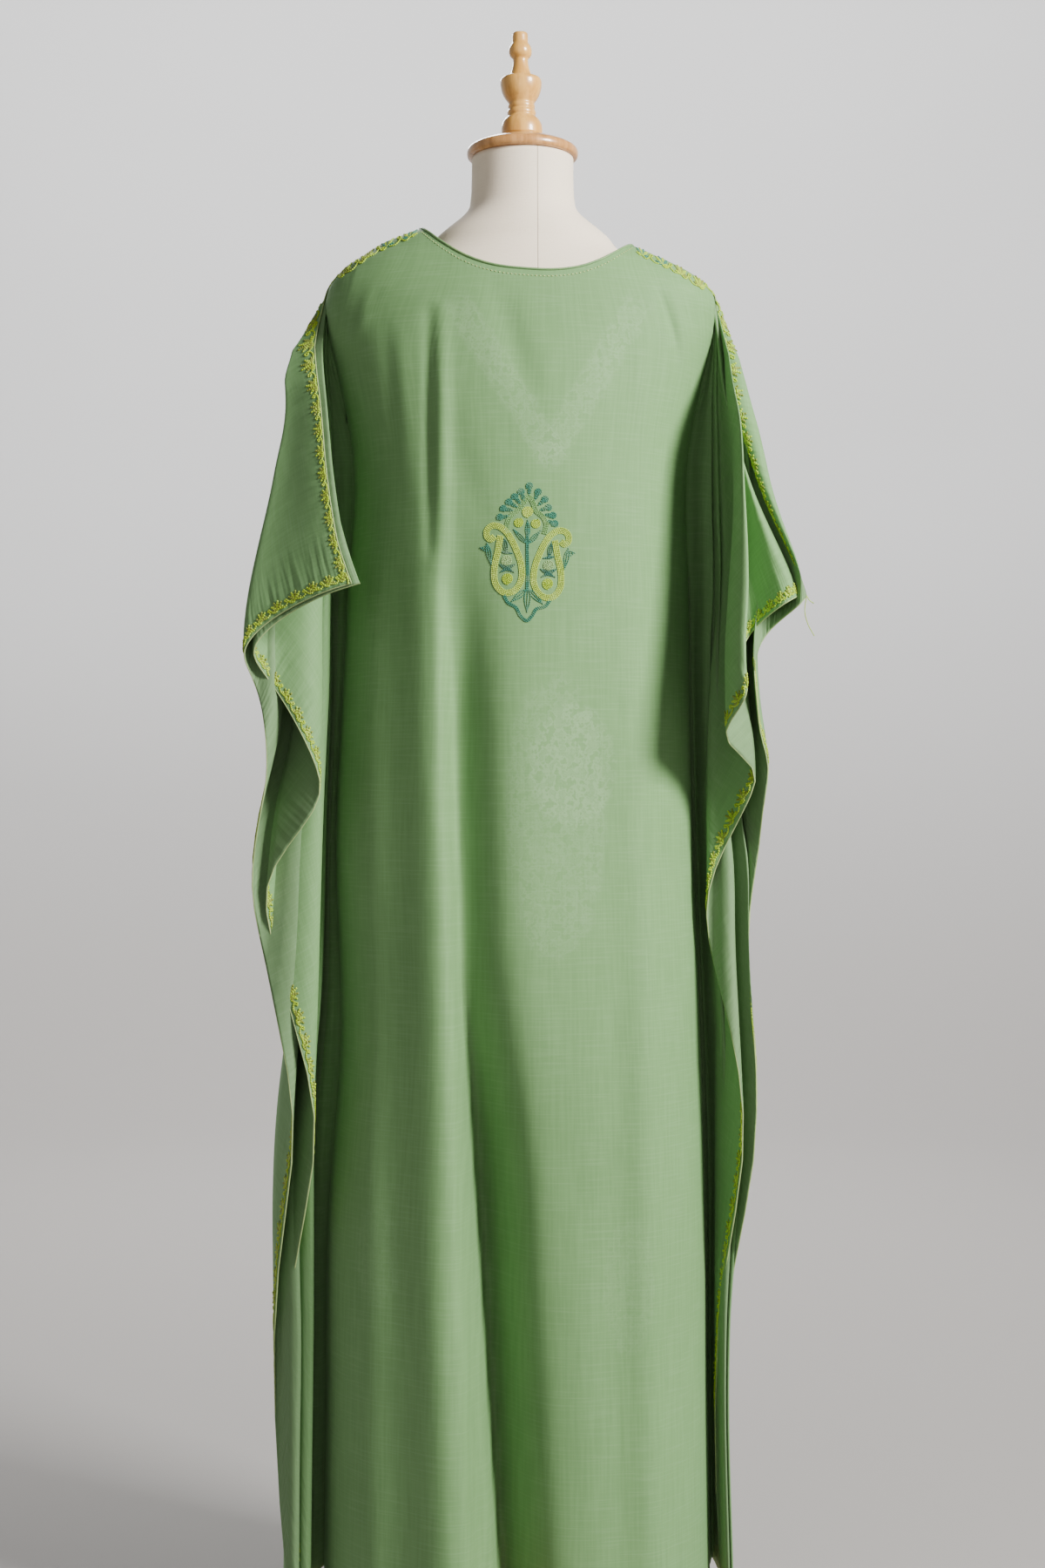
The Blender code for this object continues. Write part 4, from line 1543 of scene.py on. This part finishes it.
class RuleTree:
    """A rule that works along lines, as a tree of nodes with named inputs."""

    def __init__(self, name: str, sizes: dict[str, str]) -> None:
        """Start the tree.

        Args:
            name: The tree's name.
            sizes: The kind of each input by its name; Spacing is one of them.
        """
        self.tree = bpy.data.node_groups.new(name, "GeometryNodeTree")
        face = self.tree.interface
        for way in ("OUTPUT", "INPUT"):
            face.new_socket("Geometry", in_out=way, socket_type="NodeSocketGeometry")
        self.keys = {
            key: face.new_socket(key, in_out="INPUT", socket_type="NodeSocket" + kind).identifier
            for key, kind in {**sizes, "Thread": "Material"}.items()
        }
        self.given = self.node("NodeGroupInput").outputs
        lines = self.node("GeometryNodeMeshToCurve", {"Mesh": self.given["Geometry"]})
        self.spaced = self.node(
            "GeometryNodeResampleCurve", {"Curve": lines.outputs[0], "Length": self.given["Spacing"]},
            {"mode": "LENGTH"},
        ).outputs[0]

    def node(self, kind: str, inputs: dict | None = None, settings: dict | None = None) -> bpy.types.Node:
        """Add a node.

        Args:
            kind: The node's type.
            inputs: Values or other nodes' outputs for its sockets.
            settings: Its own settings.

        Returns:
            The node.
        """
        made = self.tree.nodes.new(kind)
        for key, value in (settings or {}).items():
            setattr(made, key, value)
        for key, value in (inputs or {}).items():
            if isinstance(value, bpy.types.NodeSocket):
                self.tree.links.new(value, made.inputs[key])
            else:
                made.inputs[key].default_value = value
        return made

    def end(self, shape: bpy.types.NodeSocket, smooth: bool) -> None:
        """Make the shape real, dye it with the thread and end the tree.

        Args:
            shape: What the rule made.
            smooth: Whether it is shaded smooth.
        """
        real = self.node("GeometryNodeRealizeInstances", {"Geometry": shape}).outputs[0]
        if smooth:
            real = self.node("GeometryNodeSetShadeSmooth", {"Geometry": real}).outputs[0]
        dyed = self.node("GeometryNodeSetMaterial", {"Geometry": real, "Material": self.given["Thread"]})
        self.node("NodeGroupOutput", {"Geometry": dyed.outputs[0]})


class StitchTree(RuleTree):
    """The rule that lays stitches along lines: one plump link after another on the cloth."""

    def __init__(self) -> None:
        """Build the node tree."""
        super().__init__("laid_stitches", {
            "Spacing": "Float", "Length": "Float", "Width": "Float", "Height": "Float", "Seed": "Int",
        })
        given = self.given
        link = self.node("GeometryNodeMeshIcoSphere", {"Radius": 0.5, "Subdivisions": 1})
        lift = self.node("GeometryNodeInputNamedAttribute", {"Name": "lift"}, {"data_type": "FLOAT_VECTOR"})
        along = self.node("GeometryNodeInputTangent")
        turn = self.node(
            "FunctionNodeAxesToRotation", {0: along.outputs[0], 1: lift.outputs["Attribute"]},
            {"primary_axis": "X", "secondary_axis": "Z"},
        )
        uneven = self.node(
            "FunctionNodeRandomValue",
            {"Min": (0.90, 0.82, 0.85), "Max": (1.10, 1.18, 1.15), "Seed": given["Seed"]},
            {"data_type": "FLOAT_VECTOR"},
        )
        size = self.node(
            "ShaderNodeCombineXYZ", {"X": given["Length"], "Y": given["Width"], "Z": given["Height"]}
        )
        scale = self.node(
            "ShaderNodeVectorMath", {0: size.outputs[0], 1: uneven.outputs[0]}, {"operation": "MULTIPLY"}
        )
        laid = self.node("GeometryNodeInstanceOnPoints", {
            "Points": self.spaced, "Instance": link.outputs["Mesh"], "Rotation": turn.outputs[0],
            "Scale": scale.outputs[0],
        })
        self.end(laid.outputs[0], True)


class CordTree(RuleTree):
    """The rule that runs a round cord along lines, for piping and loose thread ends."""

    def __init__(self) -> None:
        """Build the node tree."""
        super().__init__("run_cord", {"Spacing": "Float", "Radius": "Float"})
        round_cord = {"Resolution": 7, "Radius": self.given["Radius"]}
        ring = self.node("GeometryNodeCurvePrimitiveCircle", round_cord)
        tube = self.node("GeometryNodeCurveToMesh", {
            "Curve": self.spaced, "Profile Curve": ring.outputs[0], "Fill Caps": True,
        })
        self.end(tube.outputs[0], False)


@dataclass
class Needlework:
    """Collects strokes laid on the cloth and sews each group into one plain mesh."""
    thread: bpy.types.Material
    stitches: RuleTree
    cords: RuleTree
    lifted: float = 0.0010

    def sew(self, name: str, strokes: Sequence[tuple[np.ndarray, np.ndarray, Thread]], tree: RuleTree,
            sizes: dict[str, float]) -> bpy.types.Object:
        """Turn strokes into a finished piece.

        Args:
            name: The piece's name.
            strokes: Points, normals and thread of each stroke.
            tree: The rule that makes them.
            sizes: The rule's named inputs.

        Returns:
            The piece, as a plain mesh.
        """
        points = [point + normal * self.lifted for point, normal, _ in strokes]
        counts = np.cumsum([0] + [len(point) for point in points])
        edges = [
            (start + n, start + n + 1) for start, line in zip(counts, points) for n in range(len(line) - 1)
        ]
        mesh = bpy.data.meshes.new(name + "_lines")
        mesh.from_pydata(np.concatenate(points).tolist(), edges, [])
        lift = mesh.attributes.new("lift", "FLOAT_VECTOR", "POINT")
        lift.data.foreach_set("vector", np.concatenate([normal for _, normal, _ in strokes]).ravel())
        tint = mesh.attributes.new("tint", "FLOAT_COLOR", "POINT")
        shades = [np.tile(thread.value, (len(point), 1)) for point, _, thread in strokes]
        tint.data.foreach_set("color", np.concatenate(shades).ravel())
        lines = link_object(name + "_lines", mesh)
        rule = lines.modifiers.new("Rule", "NODES")
        rule.node_group = tree.tree
        for key, value in {**sizes, "Thread": self.thread}.items():
            rule[tree.keys[key]] = value
        bpy.context.view_layer.update()
        graph = bpy.context.evaluated_depsgraph_get()
        made = bpy.data.meshes.new_from_object(lines.evaluated_get(graph), depsgraph=graph)
        made.name = name
        bpy.data.objects.remove(lines, do_unlink=True)
        piece = link_object(name, made)
        LOG.info("%s: %d faces", name, len(made.polygons))
        return piece


@dataclass
class Stitching:
    """Everything that is sewn onto the two panels."""
    drape: Drape
    back: ClothSheet
    front: ClothSheet
    needle: Needlework
    sprig: BorderSprig = field(default_factory=BorderSprig)
    rolled: float = 0.021
    link: float = 0.0026
    width: float = 0.0013
    height: float = 0.0012
    seed: int = 11
    edge_rows: int = 420
    row_points: int = 160
    hem_rows: int = 140
    top_margin: float = 0.003
    foot_margin: float = 0.012
    turn_before: float = 0.004
    turn_after: float = 0.030

    @property
    def neck(self) -> float:
        """Half the neck opening, along the flat top edge."""
        return self.drape.body_half / 2

    def border(self) -> dict[str, float | int]:
        """The stitch rule's inputs for the borders: longer and plumper links."""
        return self.laid(0.0022, 1.25, 1.45)

    def laid(self, spacing: float = 0.0020, scale: float = 1.0, plump: float = 1.0) -> dict[str, float | int]:
        """The stitch rule's inputs.

        Args:
            spacing: The distance from link to link.
            scale: The link's size.
            plump: How much wider it is than usual.

        Returns:
            The inputs by name.
        """
        return {"Spacing": spacing, "Length": self.link * scale, "Width": self.width * scale * plump,
                "Height": self.height * scale, "Seed": self.seed}

    def edge_border(self, sheet: ClothSheet, side: Side) -> list:
        """Sprigs down a wing's free edge.

        Args:
            sheet: The panel.
            side: Which wing.

        Returns:
            Points, normals and thread of each stroke.
        """
        fall = self.drape.shoulder(side)[1] - self.drape.hem
        made = []
        for number in range(int((fall - self.foot_margin) / (self.sprig.repeat / MM))):
            start = self.top_margin + number * self.sprig.repeat / MM
            for line, thread in self.sprig.strokes(number):
                down = np.minimum(start + line[:, 0] / MM, fall - 0.002)
                out = self.drape.wing_width - line[:, 1] / MM
                point, normal = sheet.on_wing(side, out, down)
                made.append((point, normal, thread))
        return made

    def along_seam(self, sheet: ClothSheet, side: Side, run: np.ndarray, down: np.ndarray,
                   rolled: np.ndarray | float = 0.0) -> tuple:
        """Points along the shoulder and arm-top seam, from the neck out to the corner.

        Args:
            sheet: The panel that the wing's part lies on.
            side: Which wing.
            run: Distances from the neck along the seam.
            down: Distances below the seam.
            rolled: How far the shoulder's part is rolled over the top to the back.

        Returns:
            Points and normals.
        """
        neck = self.neck
        across = side.value * np.minimum(neck + run, self.drape.body_half)
        past = np.maximum(run - neck, 0.0)
        behind = (self.back.on_body(across, np.maximum(rolled - down, 0.0)),
                  self.back.on_wing(side, past, np.maximum(rolled - down, 0.0)))
        before = (sheet.on_body(across, np.maximum(down - rolled, 0.0)),
                  sheet.on_wing(side, past, np.maximum(down - rolled, 0.0)))
        over = (down - rolled < 0)[:, None]
        on_body, on_wing = (
            tuple(np.where(over, first, second) for first, second in zip(*pair))
            for pair in zip(behind, before)
        )
        beyond = rise(neck - self.turn_before, neck + self.turn_before, run)[:, None]
        return tuple(first * (1 - beyond) + second * beyond for first, second in zip(on_body, on_wing))

    def seam_border(self, side: Side) -> list:
        """Sprigs on the front panel along the shoulder and arm-top seam.

        Args:
            side: Which wing.

        Returns:
            Points, normals and thread of each stroke.
        """
        neck, manner = self.neck, WING_MANNER[side]
        whole = neck + self.drape.wing_width
        made = []
        for number in range(int(whole / (self.sprig.repeat / MM))):
            start = 0.002 + number * self.sprig.repeat / MM
            for line, thread in self.sprig.strokes(number):
                run = np.minimum(start + line[:, 0] / MM, whole - 0.001)
                over = self.rolled * rise(neck + self.turn_before, neck - self.turn_after, run)
                down = (line[:, 1] - manner.border_middle) * manner.border_stretch / MM
                point, normal = self.along_seam(self.front, side, run, down, over)
                tint = Thread.TEAL if number < 2 and thread is Thread.OLIVE else thread
                made.append((point, normal, tint))
        return made

    def piping(self) -> list:
        """Thin cord along the free edges and the arm-top seams of both wings.

        Returns:
            Points, normals and thread of each stroke.
        """
        made = []
        for sheet in (self.back, self.front):
            for side in Side:
                fall = self.drape.shoulder(side)[1] - self.drape.hem
                down = np.linspace(0.0, fall, self.edge_rows)
                point, normal = sheet.on_wing(side, np.full_like(down, self.drape.wing_width), down)
                made.append((point, normal * 0.2, Thread.PIPING))
        for side in Side:
            run = np.linspace(0.0, self.neck + self.drape.wing_width, self.row_points)
            point, normal = self.along_seam(self.front, side, run, np.zeros_like(run))
            made.append((point, normal * 0.4, Thread.PIPING))
        return made

    @staticmethod
    def level_row(sheet: ClothSheet, across: np.ndarray, down: float, thread: Thread) -> tuple:
        """One row at a set distance below a panel's top edge."""
        return (*sheet.on_body(across, np.full_like(across, down)), thread)

    def neck_roll(self) -> list:
        """The narrow turned hem round the neckline of both panels.

        Returns:
            Points, normals and thread of each stroke.
        """
        neck = self.neck
        across = np.linspace(-neck, neck, self.hem_rows)
        return [self.level_row(sheet, across, 0.0004, Thread.SAGE) for sheet in (self.back, self.front)]

    def topstitch(self) -> list:
        """The back neckline's single row of pale stitches.

        Returns:
            Points, normals and thread of each stroke.
        """
        neck = self.neck
        across = np.linspace(-neck * 0.97, neck * 0.97, self.hem_rows)
        return [self.level_row(self.back, across, 0.0078, Thread.STRAW)]

    def flat_to_sheet(self, sheet: ClothSheet, middle: tuple[float, float],
                      strokes: Sequence[Stroke]) -> list:
        """Lay strokes in millimetres, seen square on from behind, onto a panel's body.

        Args:
            sheet: The panel.
            middle: The design's middle, x and height.
            strokes: The design.

        Returns:
            Points, normals and thread of each stroke.
        """
        made = []
        for line, thread in strokes:
            x, z = middle[0] + line[:, 0] / MM, middle[1] + line[:, 1] / MM
            side_left = self.drape.outline("left", z)
            side_right = self.drape.outline("right", z)
            half = np.where(x < 0, side_left, side_right)
            u = self.drape.body_half * 2 / math.pi * np.arcsin(np.clip(x / half, -1.0, 1.0))
            top = self.drape.top_edge(sheet.panel, u)[1]
            point, normal = sheet.on_body(u, top - z)
            made.append((point, normal, thread))
        return made

    def neck_band(self) -> list:
        """The front V's band: teal and lime rows with round flowers and leaves between them.

        Returns:
            Points, normals and thread of each stroke.
        """
        neck = self.neck
        across = np.linspace(-neck, neck, self.row_points)
        made = []
        for down, thread in ((0.006, Thread.TEAL), (0.009, Thread.LIME), (0.012, Thread.TEAL),
                             (0.052, Thread.TEAL), (0.055, Thread.LIME)):
            made.append(self.level_row(self.front, across, down, thread))
        wave = 0.060 + 0.004 * np.sin(across * 420)
        made.append((*self.front.on_body(across, wave), Thread.LIME))
        for number, start in enumerate(np.arange(-neck + 0.006, neck - 0.004, 0.0105)):
            thread = (Thread.PALE, Thread.LIME, Thread.MINT)[number % 3]
            flower = [spiral((0.0, 0.0), 3.6, 1.1, thread)]
            flower += leaf((0.0, -5.0), (0.0, -12.0), 1.6, Thread.TEAL)
            flower += leaf((0.0, 5.0), (0.0, 12.0), 1.6, Thread.DEEP)
            for line, tint in flower:
                u = np.clip(start + line[:, 0] / MM, -neck, neck)
                made.append((*self.front.on_body(u, 0.031 - line[:, 1] / MM), tint))
        return made

    def loose_ends(self) -> list:
        """Two uncut thread ends at the right wing's corner.

        Returns:
            Points, normals and thread of each stroke.
        """
        corner, _ = self.front.on_wing(Side.RIGHT, np.array([self.drape.wing_width]), np.array([0.0]))
        made = []
        runs = (
            ((0.0, 0.0), (-2.0, -16.0), (1.5, -30.0), (8.0, -42.0)),
            ((0.0, 0.0), (3.0, -5.0), (7.5, -8.0)),
        )
        for run in runs:
            line = curve_through(run, 8) / MM
            point = corner + np.stack((line[:, 0], 0 * line[:, 0] - 0.001, line[:, 1]), axis=1)
            made.append((point, np.tile((0.0, -1.0, 0.0), (len(point), 1)), Thread.LIME))
        return made

    def sew_all(self) -> dict[Panel, list[bpy.types.Object]]:
        """Sew every group, and sort the pieces by the panel that carries them.

        Returns:
            The sewn pieces of each panel.
        """
        stitches, cords = self.needle.stitches, self.needle.cords
        pieces: dict[Panel, list[bpy.types.Object]] = {Panel.BACK: [], Panel.FRONT: []}
        for sheet in (self.back, self.front):
            for side in Side:
                name = f"{sheet.panel.value}_{side.name.lower()}_edge_border"
                strokes = self.edge_border(sheet, side)
                pieces[sheet.panel].append(self.needle.sew(name, strokes, stitches, self.border()))
        for side in Side:
            name = f"{side.name.lower()}_seam_border"
            strokes = self.seam_border(side)
            pieces[Panel.FRONT].append(self.needle.sew(name, strokes, stitches, self.border()))
        motif, spray = BackPaisley(), FrontSpray()
        behind = self.flat_to_sheet(self.back, motif.middle, motif.strokes())
        before = self.flat_to_sheet(self.front, spray.middle, spray.strokes())
        groups = (
            (Panel.BACK, "back_paisley", behind, stitches, self.laid()),
            (Panel.FRONT, "front_spray", before, stitches, self.laid()),
            (Panel.FRONT, "front_neck_band", self.neck_band(), stitches, self.laid()),
            (Panel.BACK, "neck_topstitch", self.topstitch(), stitches, self.laid(0.0042, 0.85)),
            (Panel.BACK, "edge_piping", self.piping(), cords, {"Spacing": 0.004, "Radius": 0.0007}),
            (Panel.BACK, "neck_roll", self.neck_roll(), cords, {"Spacing": 0.003, "Radius": 0.0012}),
            (Panel.FRONT, "loose_thread_ends", self.loose_ends(), cords,
             {"Spacing": 0.002, "Radius": 0.0005}),
        )
        for panel, name, strokes, tree, sizes in groups:
            pieces[panel].append(self.needle.sew(name, strokes, tree, sizes))
        for piece in pieces[Panel.BACK] + pieces[Panel.FRONT]:
            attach(piece, BODY)
        return pieces


@dataclass
class Kaftan:
    """The garment: two crepe panels and their stitching."""
    drape: Drape = field(default_factory=Drape)
    flat_width: float = 1.17
    flat_length: float = 1.45

    def build(self) -> None:
        """Hang both panels, sew their stitching on and report them."""
        outside = CrepeFinish("sage_crepe_back", shows_through=True).make()
        face = CrepeFinish("sage_crepe").make()
        wrong = CrepeFinish("sage_crepe_wrong_side", (0.150, 0.265, 0.118, 1.0), (0.115, 0.185, 0.080, 1.0),
                            (0.280, 0.385, 0.230, 1.0)).make()
        sheets = {panel: ClothSheet(self.drape, panel) for panel in Panel}
        for sheet in sheets.values():
            sheet.build()
        needle = Needlework(ThreadFinish().make(), StitchTree(), CordTree())
        sewn = Stitching(self.drape, sheets[Panel.BACK], sheets[Panel.FRONT], needle).sew_all()
        for panel, front, area in ((Panel.BACK, outside, 1.675), (Panel.FRONT, face, 1.655)):
            thing = sheets[panel].mesh(f"kaftan_{panel.value}_cloth")
            thing.data.materials.append(front)
            thing.data.materials.append(wrong)
            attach(thing, BODY)
            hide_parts(f"kaftan_{panel.value}")
            LOG.info("%s hung", thing.name)


def main() -> None:
    """Build everything."""
    logging.basicConfig(level=logging.INFO, format="%(message)s")
    Studio().build()
    DressForm().build()
    Kaftan().build()


if __name__ == "__main__":
    main()
